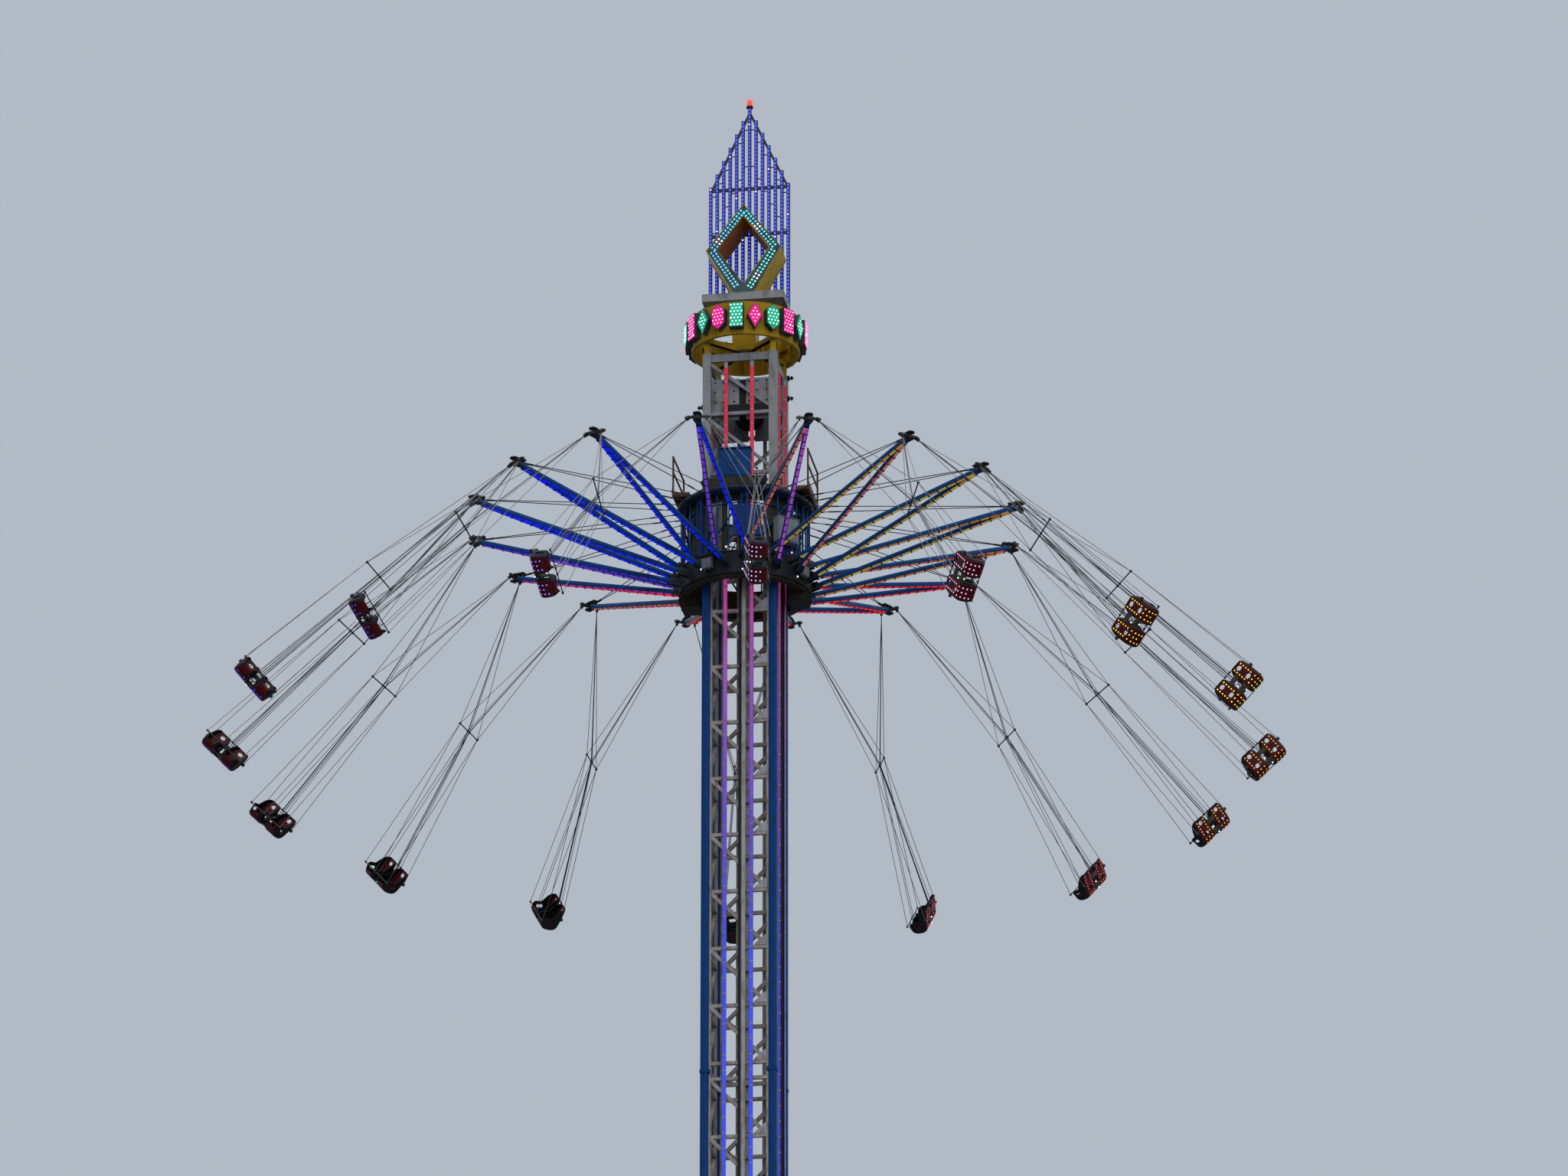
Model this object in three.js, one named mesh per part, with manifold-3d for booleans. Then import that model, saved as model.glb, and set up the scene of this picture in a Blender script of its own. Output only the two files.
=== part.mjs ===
// Chair swing ride: a lattice tower with a lift carriage, a turning arm ring,
// sixteen double seats on cables, and a lit crown, built at one tenth of its real size.
// Units are millimetres of the model, +Z up, origin on the ground at the tower's centre.
import * as THREE from "three";
import { mergeVertices } from "three/addons/utils/BufferGeometryUtils.js";
import Module from "manifold-3d";

const wasm = await Module();
wasm.setup();

// The model's millimetres for one metre of the real ride, so that every size below reads in metres.
const METRE = 100;
const FIT_GAP = 0.3;
const TURN = Math.PI * 2;

// Tower
const MAST_WIDTH = 2.2 * METRE;
const MAST_POST = 0.24 * METRE;
const MAST_FOOT_Z = 0.9 * METRE;
const MAST_TOP_Z = 86.4 * METRE;
const HEAD_TOP_Z = 92 * METRE;
const BRACE_BAR = 0.1 * METRE;
const BRACE_INSET = 0.08 * METRE;
const BRACE_EDGE = 0.05 * METRE;
const BAY_HEIGHT = 1.72 * METRE;
const SHORT_BAY = 0.46 * METRE;
const BAYS_PER_SECTION = 9;
const SECTION_JOINT_Z = 85.6 * METRE;
const CHANNEL_WIDTH = 0.18 * METRE;
const CHANNEL_OFFSET = 0.1 * METRE;
const HEAD_BAY_ZS = [88.2, 90.1].map((z) => z * METRE);

// Base
const BASE_REACH = 10.5 * METRE;
const BASE_BEAM_WIDTH = 0.9 * METRE;
const BASE_BEAM_HEIGHT = 0.5 * METRE;
const BASE_BEAM_Z = 0.25 * METRE;
const FOOT_PAD = 1.8 * METRE;
const DECK_OUTER = 11.6 * METRE;
const DECK_INNER = 3.2 * METRE;
const DECK_TOP_Z = 1.3 * METRE;
const DECK_STEPS = 3;
const DECK_TREAD = 0.4 * METRE;
const RAKER_TOP_Z = 7 * METRE;
const RAKER_REACH = 4.2 * METRE;

// Arm ring
const ARMS = 16;
const ARM_PHASE = THREE.MathUtils.degToRad(-0.5);
const ARM_STEP = TURN / ARMS;
const TIP_RADIUS = 8.1 * METRE;
const TIP_Z = 87 * METRE;
const ROOT_RADIUS = 1.96 * METRE;
const ROOT_SPREAD = THREE.MathUtils.degToRad(15.5);
const ROOT_Z_AHEAD = 85.06 * METRE;
const ROOT_Z_BEHIND = 85.3 * METRE;
const ARM_TUBE = 0.13 * METRE;
const STAY_SPREAD = THREE.MathUtils.degToRad(7);
const CABLE_RADIUS = 0.012 * METRE;
const PIN_RADIUS = 0.03 * METRE;
const PIN_REACH = 0.34 * METRE;
const EYE_OFFSET = 0.27 * METRE;

// Drum that turns, and the carriage inside it
const DRUM_INNER = 1.79 * METRE;
const DRUM_OUTER = 1.93 * METRE;
const LOWER_RING_ZS = [84.7, 85.4].map((z) => z * METRE);
const UPPER_RING_ZS = [87.22, 87.48].map((z) => z * METRE);
const SLEEVE_INNER = 1.66 * METRE;
const SLEEVE_OUTER = 1.7 * METRE;
const SLEEVE_TOP_Z = 87.62 * METRE;
const TURNING_GAP = 5.5;
const RING_SIDES = 16;
const CABINET_FACE = 1.9 * METRE;
const CABINET_ZS = [85.7, 86.47].map((z) => z * METRE);
const CABINET_ANGLE = ARM_PHASE - 2 * ARM_STEP;
const LEDGE_THICK = 0.07 * METRE;
const DRIVE_BOX = { inner: 1.31 * METRE, outer: 1.84 * METRE, half: 0.36 * METRE, low: 84.37 * METRE };
const WINDOW_ZS = [85.5, 87.08].map((z) => z * METRE);
const WINDOW_WIDTH = 0.48 * METRE;
const SHOE_ZS = [84.75, 87.3].map((z) => z * METRE);

// Seats
const SEAT_SWING = THREE.MathUtils.degToRad(44.5);
const SEAT_DROP = 10.08 * METRE;
const SPREADER_DROP = 4.96 * METRE;
const SPREADER_HALF = 0.52 * METRE;
const PAIR_HALF_WIDTH = 0.66 * METRE;
const SEAT_INNER_SIDE = 0.075 * METRE;
const SEAT_WALL = 0.045 * METRE;

// Crown and topper
const CROWN_RADIUS = 1.6 * METRE;
const CROWN_WALL = 0.06 * METRE;
const CROWN_ZS = [92.36, 93.4].map((z) => z * METRE);
const SIGN_BOXES = 20;
const SIGN_WIDTH = 0.46 * METRE;
const SIGN_DEPTH = 0.2 * METRE;
const SIGN_ZS = [92.48, 93.32].map((z) => z * METRE);
const TOPPER_FOOT_Z = 93.9 * METRE;
const TOPPER_TOP_Z = 101 * METRE;
const TOPPER_HALF_WIDTH = 1.22 * METRE;
const TOPPER_DEPTH = 1.2 * METRE;
const LIGHT_BARS = 13;
const LIGHT_BAR_STEP = 0.425 * METRE;

const paints = {
  towerBlue: { color: 0x1f5a93, roughness: 0.45, metalness: 0.2 },
  galvanised: { color: 0x9b9c9f, roughness: 0.55, metalness: 0.6 },
  headGrey: { color: 0xa9adb1, roughness: 0.5, metalness: 0.3 },
  darkSteel: { color: 0x23262b, roughness: 0.6, metalness: 0.5 },
  armBlue: { color: 0x1b4f86, roughness: 0.4, metalness: 0.2 },
  channelBrown: { color: 0x3a2620, roughness: 0.6, metalness: 0.3 },
  signYellow: { color: 0xc79a1e, roughness: 0.45, metalness: 0.1 },
  lampBlue: { color: 0x2536d8, roughness: 0.4, metalness: 0 },
  lampRed: { color: 0xe8362c, roughness: 0.3, metalness: 0 },
  seatRed: { color: 0x6b1a1c, roughness: 0.45, metalness: 0 },
  cabinetGrey: { color: 0x8f979c, roughness: 0.5, metalness: 0.1 },
  deckGrey: { color: 0x6d7075, roughness: 0.7, metalness: 0.2 },
};

const ride = new THREE.Group();

function addPiece(name, geometry, paint) {
  const mesh = new THREE.Mesh(geometry, new THREE.MeshStandardMaterial(paints[paint]));
  mesh.name = name;
  ride.add(mesh);
  return mesh;
}

function bare(geometry) {
  const copy = geometry.clone();
  copy.deleteAttribute("normal");
  copy.deleteAttribute("uv");
  return mergeVertices(copy, 1e-4);
}

function toSolid(geometry) {
  const clean = bare(geometry);
  return new wasm.Manifold(new wasm.Mesh({
    numProp: 3,
    vertProperties: Float32Array.from(clean.attributes.position.array),
    triVerts: Uint32Array.from(clean.index.array),
  }));
}

function fromSolid(solid) {
  const mesh = solid.getMesh();
  const geometry = new THREE.BufferGeometry();
  geometry.setAttribute("position", new THREE.BufferAttribute(mesh.vertProperties, 3));
  geometry.setIndex(new THREE.BufferAttribute(mesh.triVerts, 1));
  return geometry;
}

function fuse(geometries) {
  const [first, ...others] = geometries.map(toSolid);
  return fromSolid(others.reduce((whole, next) => whole.add(next), first));
}

function cutAway(geometry, cutters) {
  return fromSolid(cutters.reduce((whole, cutter) => whole.subtract(toSolid(cutter)), toSolid(geometry)));
}

function block(x0, x1, y0, y1, z0, z1) {
  const box = new THREE.BoxGeometry(x1 - x0, y1 - y0, z1 - z0);
  return box.translate((x0 + x1) / 2, (y0 + y1) / 2, (z0 + z1) / 2);
}

// A square bar from one point to another, its height kept as near to upright as it can be.
function bar(from, to, width, height = width) {
  const along = new THREE.Vector3().subVectors(to, from);
  const upright = new THREE.Vector3(0, 0, 1);
  if (Math.abs(along.clone().normalize().z) > 0.99) {
    upright.set(0, 1, 0);
  }
  const box = new THREE.BoxGeometry(along.length(), width, height);
  const xAxis = along.clone().normalize();
  const yAxis = new THREE.Vector3().crossVectors(upright, xAxis).normalize();
  const zAxis = new THREE.Vector3().crossVectors(xAxis, yAxis);
  const place = new THREE.Matrix4().makeBasis(xAxis, yAxis, zAxis);
  place.setPosition(new THREE.Vector3().addVectors(from, to).multiplyScalar(0.5));
  return box.applyMatrix4(place);
}

function roundBar(from, to, radius, sides) {
  const along = new THREE.Vector3().subVectors(to, from);
  const tube = new THREE.CylinderGeometry(radius, radius, along.length(), sides);
  const turn = new THREE.Quaternion().setFromUnitVectors(
    new THREE.Vector3(0, 1, 0),
    along.clone().normalize(),
  );
  const place = new THREE.Matrix4().makeRotationFromQuaternion(turn);
  place.setPosition(new THREE.Vector3().addVectors(from, to).multiplyScalar(0.5));
  return tube.applyMatrix4(place);
}

function polar(radius, angle, z) {
  return new THREE.Vector3(radius * Math.cos(angle), radius * Math.sin(angle), z);
}

// A closed ring of flat sides, turned so that a side faces each arm.
function ringBand(inner, outer, z0, z1, sides = RING_SIDES) {
  const profile = [[inner, z0], [outer, z0], [outer, z1], [inner, z1], [inner, z0]];
  const points = profile.map(([r, z]) => new THREE.Vector2(r, z));
  const ring = new THREE.LatheGeometry(points, sides);
  return ring.rotateX(Math.PI / 2).rotateZ(ARM_PHASE + ARM_STEP / 2);
}

// An outline drawn in a plane, made solid between two depths.
function plate(outline, depth, holes = []) {
  const points = outline.map(([x, y]) => new THREE.Vector2(x, y));
  if (THREE.ShapeUtils.isClockWise(points)) {
    points.reverse();
  }
  const shape = new THREE.Shape(points);
  holes.forEach((hole) => shape.holes.push(new THREE.Path(hole.map(([x, y]) => new THREE.Vector2(x, y)))));
  return new THREE.ExtrudeGeometry(shape, { depth, bevelEnabled: false, curveSegments: 1 });
}

// Heights of the mast's level bars: nine bays and a short one in each bolted section, from the top down.
function levelBarZs() {
  const zs = [];
  let z = MAST_TOP_Z - BRACE_BAR;
  let joint = SECTION_JOINT_Z;
  const bottom = MAST_FOOT_Z + BAY_HEIGHT;
  zs.push(z);
  z = joint;
  while (z > bottom) {
    for (let bay = 0; bay < BAYS_PER_SECTION && z > bottom; bay += 1) {
      zs.push(z);
      z -= BAY_HEIGHT;
    }
    zs.push(z);
    z -= SHORT_BAY;
  }
  return zs;
}

// One side of the mast: level bars, and in each bay one bar that falls from left to right.
function braceSide() {
  const half = MAST_WIDTH / 2 - MAST_POST - FIT_GAP;
  const left = -half + BRACE_EDGE;
  const right = half - BRACE_EDGE;
  const thin = BRACE_BAR / 2;
  const slant = BRACE_BAR * 0.72;
  const holes = [];
  const zs = [...levelBarZs(), MAST_FOOT_Z + BRACE_BAR];
  for (let n = 0; n + 1 < zs.length; n += 1) {
    const top = zs[n] - thin;
    const low = zs[n + 1] + thin;
    const tall = top - low;
    if (tall > BAY_HEIGHT * 0.6) {
      holes.push([[left, low], [right - slant, low], [left, top - slant]]);
      holes.push([[left + slant, top], [right, low + slant], [right, top]]);
    } else if (tall > BRACE_BAR) {
      holes.push([[left, low], [right, low], [right, top], [left, top]]);
    }
  }
  const outline = [
    [-half, MAST_FOOT_Z + FIT_GAP],
    [half, MAST_FOOT_Z + FIT_GAP],
    [half, MAST_TOP_Z],
    [-half, MAST_TOP_Z],
  ];
  const flat = plate(outline, BRACE_BAR, holes);
  flat.rotateX(Math.PI / 2);
  return flat.translate(0, -MAST_WIDTH / 2 + BRACE_INSET + BRACE_BAR, 0);
}

function addMast() {
  const half = MAST_WIDTH / 2;
  const names = ["front", "right", "back", "left"];
  names.forEach((name, n) => {
    const quarter = (n * TURN) / 4;
    const post = block(-half, -half + MAST_POST, -half, -half + MAST_POST, MAST_FOOT_Z + FIT_GAP, MAST_TOP_Z);
    addPiece(`mast_post_${name}`, post.rotateZ(quarter), "towerBlue");
    addPiece(`mast_side_${name}`, braceSide().rotateZ(quarter), "galvanised");
    const channel = block(
      CHANNEL_OFFSET - CHANNEL_WIDTH / 2,
      CHANNEL_OFFSET + CHANNEL_WIDTH / 2,
      -half,
      -half + BRACE_INSET - FIT_GAP,
      MAST_FOOT_Z + FIT_GAP,
      MAST_TOP_Z,
    );
    const paint = n % 2 === 0 ? "galvanised" : "channelBrown";
    addPiece(`mast_channel_${name}`, channel.rotateZ(quarter), paint);
  });
}

// The grey head: four corner posts, level frames, slanting bars, and split plates that hold the sheaves.
function addHead() {
  const half = MAST_WIDTH / 2;
  const inner = half - MAST_POST / 2;
  const foot = MAST_TOP_Z + FIT_GAP;
  const pieces = [];
  for (let n = 0; n < 4; n += 1) {
    const quarter = (n * TURN) / 4;
    pieces.push(block(-half, -half + MAST_POST, -half, -half + MAST_POST, foot, HEAD_TOP_Z).rotateZ(quarter));
    const levels = [foot + BRACE_BAR, ...HEAD_BAY_ZS, HEAD_TOP_Z - MAST_POST / 2];
    levels.forEach((z, level) => {
      const deep = level === levels.length - 1 ? MAST_POST : BRACE_BAR;
      const low = level === 0 ? foot : z - deep / 2;
      pieces.push(block(-inner, inner, -half + BRACE_INSET, -half + BRACE_INSET + BRACE_BAR, low, low + deep)
        .rotateZ(quarter));
    });
    for (let level = 0; level + 1 < levels.length; level += 1) {
      const y = -half + BRACE_INSET + BRACE_BAR / 2;
      const from = new THREE.Vector3(-inner, y, levels[level + 1] - BRACE_BAR);
      const to = new THREE.Vector3(inner, y, levels[level] + BRACE_BAR);
      pieces.push(bar(from, to, BRACE_BAR * 0.8, BRACE_BAR * 0.9).rotateZ(quarter));
    }
  }
  const plateLow = HEAD_BAY_ZS[1] - 0.15 * METRE;
  const plateTop = HEAD_BAY_ZS[1] + 1.15 * METRE;
  [-1, 1].forEach((side) => {
    const y = side * (half - MAST_POST - 0.02 * METRE);
    const depth = [y - 0.03 * METRE, y + 0.03 * METRE];
    pieces.push(block(-inner, -0.05 * METRE, ...depth, plateLow, plateTop));
    pieces.push(block(0.15 * METRE, inner, ...depth, plateLow, plateTop));
  });
  addPiece("head_frame", fuse(pieces), "headGrey");
  const drumHalf = half - MAST_POST - 0.05 * METRE - FIT_GAP;
  const drumZ = HEAD_BAY_ZS[1] + 0.55 * METRE;
  const drum = roundBar(
    new THREE.Vector3(0, -drumHalf, drumZ),
    new THREE.Vector3(0, drumHalf, drumZ),
    0.42 * METRE,
    12,
  );
  addPiece("head_sheave_drum", drum, "darkSteel");
}

// The yellow crown: a round wall with sign boxes, on four spokes that stand on the head's corners.
function addCrown() {
  const [low, top] = CROWN_ZS;
  const pieces = [ringBand(CROWN_RADIUS - CROWN_WALL, CROWN_RADIUS, low, top, 24)];
  const reach = CROWN_RADIUS - CROWN_WALL / 2;
  const spokeLow = low + 0.02 * METRE;
  for (let n = 0; n < 2; n += 1) {
    const spoke = block(-reach, reach, -0.06 * METRE, 0.06 * METRE, spokeLow, spokeLow + 0.16 * METRE);
    pieces.push(spoke.rotateZ(TURN / 8 + (n * TURN) / 4));
  }
  for (let n = 0; n < SIGN_BOXES; n += 1) {
    const sign = block(
      reach - 0.01 * METRE,
      CROWN_RADIUS + SIGN_DEPTH,
      -SIGN_WIDTH / 2,
      SIGN_WIDTH / 2,
      ...SIGN_ZS,
    );
    pieces.push(sign.rotateZ((n * TURN) / SIGN_BOXES));
  }
  const foot = HEAD_TOP_Z + FIT_GAP;
  const corner = MAST_WIDTH / 2 - MAST_POST / 2;
  for (let n = 0; n < 4; n += 1) {
    const stub = block(
      -corner - 0.08 * METRE,
      -corner + 0.08 * METRE,
      -corner - 0.08 * METRE,
      -corner + 0.08 * METRE,
      foot,
      spokeLow + 0.1 * METRE,
    );
    pieces.push(stub.rotateZ((n * TURN) / 4));
  }
  const hub = 0.35 * METRE;
  pieces.push(block(-hub, hub, -hub, hub, spokeLow, TOPPER_FOOT_Z - FIT_GAP));
  addPiece("crown_drum", fuse(pieces), "signYellow");
}

// The topper: a dark back frame with stepped light bars under two sloping rails,
// and yellow channels bent to a diamond.
function addTopper() {
  const half = TOPPER_HALF_WIDTH;
  const frameY = TOPPER_DEPTH / 2;
  const frame = 0.1 * METRE;
  const pieces = [
    block(-half, half, -TOPPER_DEPTH / 2, frameY + frame, TOPPER_FOOT_Z, TOPPER_FOOT_Z + 0.24 * METRE),
  ];
  const pitch = (2 * half - frame) / (LIGHT_BARS - 1);
  const peak = TOPPER_TOP_Z - 0.3 * METRE;
  const middle = (LIGHT_BARS - 1) / 2;
  for (let n = 0; n < LIGHT_BARS; n += 1) {
    const x = -half + frame / 2 + n * pitch;
    const top = peak - Math.abs(n - middle) * LIGHT_BAR_STEP;
    pieces.push(block(x - frame / 2, x + frame / 2, frameY, frameY + frame, TOPPER_FOOT_Z + frame, top));
  }
  const railTop = new THREE.Vector3(0, frameY + frame, peak - 0.14 * METRE);
  [-1, 1].forEach((side) => {
    const drop = new THREE.Vector3(side * middle * pitch, 0, -middle * LIGHT_BAR_STEP);
    pieces.push(bar(railTop, railTop.clone().add(drop), 0.07 * METRE));
  });
  const reach = half - 0.02 * METRE;
  [0.5, 2.6, 4.1].forEach((rise) => {
    const z = TOPPER_FOOT_Z + rise * METRE;
    pieces.push(block(-reach, reach, frameY + 0.02 * METRE, frameY + frame * 0.8, z, z + frame));
  });
  addPiece("topper_frame", fuse(pieces), "darkSteel");
  const low = TOPPER_FOOT_Z + 0.24 * METRE + FIT_GAP;
  const tall = 2.9 * METRE;
  const wide = half - 0.1 * METRE;
  const thick = 0.26 * METRE;
  const diamond = plate(
    [[-0.3 * METRE, low], [0.3 * METRE, low], [wide, low + tall / 2], [0, low + tall], [-wide, low + tall / 2]],
    TOPPER_DEPTH - 0.1 * METRE - FIT_GAP,
    [[[0, low + thick * 1.3], [wide - thick * 1.35, low + tall / 2], [0, low + tall - thick * 1.5],
      [-wide + thick * 1.35, low + tall / 2]]],
  );
  diamond.rotateX(Math.PI / 2).translate(0, frameY - FIT_GAP, 0);
  addPiece("topper_diamond", diamond, "signYellow");
  const beacon = new THREE.CylinderGeometry(0.08 * METRE, 0.11 * METRE, 0.3 * METRE - FIT_GAP, 10);
  beacon.rotateX(Math.PI / 2);
  beacon.translate(0, frameY + frame / 2, TOPPER_TOP_Z - 0.15 * METRE + FIT_GAP / 2);
  addPiece("topper_beacon", beacon, "lampRed");
}

// A base that carries the tower on level ground: a cross of beams on four pads, rakers, and the deck.
function addBase() {
  const halfBeam = BASE_BEAM_WIDTH / 2;
  const beamTop = BASE_BEAM_Z + BASE_BEAM_HEIGHT;
  const beams = [];
  for (let n = 0; n < 2; n += 1) {
    const quarter = (n * TURN) / 4 + TURN / 8;
    beams.push(block(-BASE_REACH, BASE_REACH, -halfBeam, halfBeam, BASE_BEAM_Z, beamTop).rotateZ(quarter));
  }
  for (let n = 0; n < 4; n += 1) {
    const pad = block(
      BASE_REACH - FOOT_PAD,
      BASE_REACH + 0.02 * METRE,
      -FOOT_PAD / 2,
      FOOT_PAD / 2,
      0,
      BASE_BEAM_Z + 0.02 * METRE,
    );
    beams.push(pad.rotateZ((n * TURN) / 4 + TURN / 8));
  }
  const plinth = MAST_WIDTH / 2 + 0.4 * METRE;
  beams.push(block(-plinth, plinth, -plinth, plinth, 0, MAST_FOOT_Z));
  addPiece("base_frame", fuse(beams), "darkSteel");
  const rakers = [];
  const collarIn = MAST_WIDTH / 2 + FIT_GAP;
  const collarOut = collarIn + 0.16 * METRE;
  rakers.push(collar(collarIn, collarOut, RAKER_TOP_Z - 0.5 * METRE, RAKER_TOP_Z));
  for (let n = 0; n < 4; n += 1) {
    const angle = (n * TURN) / 4 + TURN / 8;
    const top = polar(collarOut * Math.SQRT2 - 0.06 * METRE, angle, RAKER_TOP_Z - 0.2 * METRE);
    const foot = polar(RAKER_REACH, angle, beamTop + 0.12 * METRE + FIT_GAP);
    rakers.push(bar(top, foot, 0.22 * METRE));
    const shoe = block(
      RAKER_REACH - 0.35 * METRE,
      RAKER_REACH + 0.35 * METRE,
      -0.3 * METRE,
      0.3 * METRE,
      beamTop + FIT_GAP,
      beamTop + 0.16 * METRE,
    );
    rakers.push(shoe.rotateZ(angle));
  }
  addPiece("base_rakers", fuse(rakers), "towerBlue");
  addPiece("loading_deck", deck(), "deckGrey");
}

function collar(inner, outer, z0, z1) {
  const square = (r) => [[-r, -r], [r, -r], [r, r], [-r, r]];
  return plate(square(outer), z1 - z0, [square(inner)]).translate(0, 0, z0);
}

// A round deck of flat sides with steps down all round, resting on the base beams.
function deck() {
  const under = BASE_BEAM_Z + BASE_BEAM_HEIGHT + FIT_GAP;
  const rise = (DECK_TOP_Z - under) / DECK_STEPS;
  const profile = [[DECK_INNER, under]];
  for (let step = 0; step < DECK_STEPS; step += 1) {
    const r = DECK_OUTER - step * DECK_TREAD;
    profile.push([r, under + step * rise], [r, under + (step + 1) * rise]);
  }
  profile.push([DECK_INNER, DECK_TOP_Z], [DECK_INNER, under]);
  const points = profile.map(([r, z]) => new THREE.Vector2(r, z));
  const ring = new THREE.LatheGeometry(points, RING_SIDES);
  ring.rotateX(Math.PI / 2).rotateZ(ARM_STEP / 2);
  const clear = [];
  for (let n = 0; n < 4; n += 1) {
    const notch = block(
      RAKER_REACH - 1.1 * METRE,
      RAKER_REACH + 0.45 * METRE,
      -0.4 * METRE,
      0.4 * METRE,
      under - METRE,
      DECK_TOP_Z + METRE,
    );
    clear.push(notch.rotateZ((n * TURN) / 4 + TURN / 8));
  }
  return cutAway(ring, clear);
}

// The carriage that climbs the mast: a round sleeve with guide shoes, a ledge with a drive box
// under it on each side, and a front beam.
function addCarriage() {
  const ledgeTop = LOWER_RING_ZS[0] - FIT_GAP;
  const ledgeLow = ledgeTop - LEDGE_THICK;
  const pieces = [
    ringBand(SLEEVE_INNER, SLEEVE_OUTER, ledgeLow, SLEEVE_TOP_Z),
    ringBand(SLEEVE_INNER, DRUM_OUTER - 0.04 * METRE, ledgeLow, ledgeTop),
  ];
  const face = MAST_WIDTH / 2 + FIT_GAP;
  const reach = 1.33 * METRE;
  const near = MAST_WIDTH / 2 - 0.12 * METRE;
  const far = MAST_WIDTH / 2 - 0.04 * METRE;
  for (let n = 0; n < 4; n += 1) {
    pieces.push(block(near, far, face, reach, ...SHOE_ZS).rotateZ((n * TURN) / 4));
    pieces.push(block(-far, -near, face, reach, ...SHOE_ZS).rotateZ((n * TURN) / 4));
  }
  const { inner, outer, half, low } = DRIVE_BOX;
  pieces.push(block(inner, outer, -half, half, low, ledgeLow + 0.02 * METRE));
  pieces.push(block(-outer, -inner, -half, half, low, ledgeLow + 0.02 * METRE));
  const beamLow = UPPER_RING_ZS[1] + TURNING_GAP;
  const beamTop = 87.88 * METRE;
  pieces.push(block(-1.0 * METRE, 0.85 * METRE, -1.52 * METRE, -1.32 * METRE, beamLow, beamTop));
  addPiece("carriage_sleeve", cutAway(fuse(pieces), sleeveWindows()), "darkSteel");
  const box = block(
    -0.55 * METRE,
    0.38 * METRE,
    -1.5 * METRE,
    -1.2 * METRE,
    beamTop + FIT_GAP,
    beamTop + 0.92 * METRE,
  );
  addPiece("control_box", box, "armBlue");
  [["left", -1], ["right", 1]].forEach(([name, side]) => {
    addPiece(`platform_${name}`, walkway(side), "darkSteel");
  });
}

// Openings through the sleeve's wall, on the sides that carry no guide shoes.
function sleeveWindows() {
  const windows = [];
  for (let n = 0; n < ARMS; n += 1) {
    if (n % 4 !== 2) {
      const opening = block(
        SLEEVE_INNER - 0.06 * METRE,
        SLEEVE_OUTER + 0.03 * METRE,
        -WINDOW_WIDTH / 2,
        WINDOW_WIDTH / 2,
        ...WINDOW_ZS,
      );
      windows.push(opening.rotateZ(ARM_PHASE + n * ARM_STEP));
    }
  }
  return windows;
}

// A walkway beside the mast with a railing on its outer edge.
function walkway(side) {
  const floor = SLEEVE_TOP_Z + FIT_GAP;
  const inner = 1.5 * METRE;
  const outer = 2.02 * METRE;
  const half = 0.97 * METRE;
  const tube = 0.05 * METRE;
  const tall = 1.25 * METRE;
  const pieces = [
    block(inner, outer, -half, half, floor, floor + 0.08 * METRE),
    block(outer - 0.04 * METRE, outer, -half, half, floor, floor + 0.22 * METRE),
  ];
  const x = outer - 0.03 * METRE;
  [-half + 0.05 * METRE, half - 0.05 * METRE].forEach((y) => {
    pieces.push(block(x - tube / 2, x + tube / 2, y - tube / 2, y + tube / 2, floor + 0.04 * METRE, floor + tall));
  });
  [0.62, 1].forEach((share) => {
    const z = floor + tall * share;
    pieces.push(block(x - tube * 0.4, x + tube * 0.4, -half, half, z - tube, z));
  });
  const whole = fuse(pieces);
  return side > 0 ? whole : whole.rotateZ(TURN / 2);
}

// The drum that turns: two rings joined by posts and by four blue panels.
function addDrum() {
  const pieces = [
    ringBand(DRUM_INNER, DRUM_OUTER, ...LOWER_RING_ZS),
    ringBand(DRUM_INNER, DRUM_OUTER, ...UPPER_RING_ZS),
  ];
  const middle = (DRUM_INNER + DRUM_OUTER) / 2;
  const postLow = LOWER_RING_ZS[1] - 0.05 * METRE;
  const postTop = UPPER_RING_ZS[0] + 0.05 * METRE;
  for (let n = 0; n < ARMS; n += 2) {
    const angle = ARM_PHASE + (n + 0.5) * ARM_STEP;
    pieces.push(block(middle - 0.05 * METRE, middle + 0.03 * METRE, -0.04 * METRE, 0.04 * METRE, postLow, postTop)
      .rotateZ(angle));
  }
  for (let n = 0; n < 4; n += 1) {
    const panel = block(
      middle - 0.04 * METRE,
      middle,
      -0.42 * METRE,
      0.42 * METRE,
      85.9 * METRE,
      86.85 * METRE,
    );
    pieces.push(panel.rotateZ(ARM_PHASE + (n * TURN) / 4 + ARM_STEP / 2));
  }
  const mounting = block(
    middle - 0.03 * METRE,
    CABINET_FACE - FIT_GAP,
    -0.3 * METRE,
    0.3 * METRE,
    postLow,
    CABINET_ZS[1],
  );
  pieces.push(mounting.rotateZ(CABINET_ANGLE));
  addPiece("drum_rings", fuse(pieces), "towerBlue");
}

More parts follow.
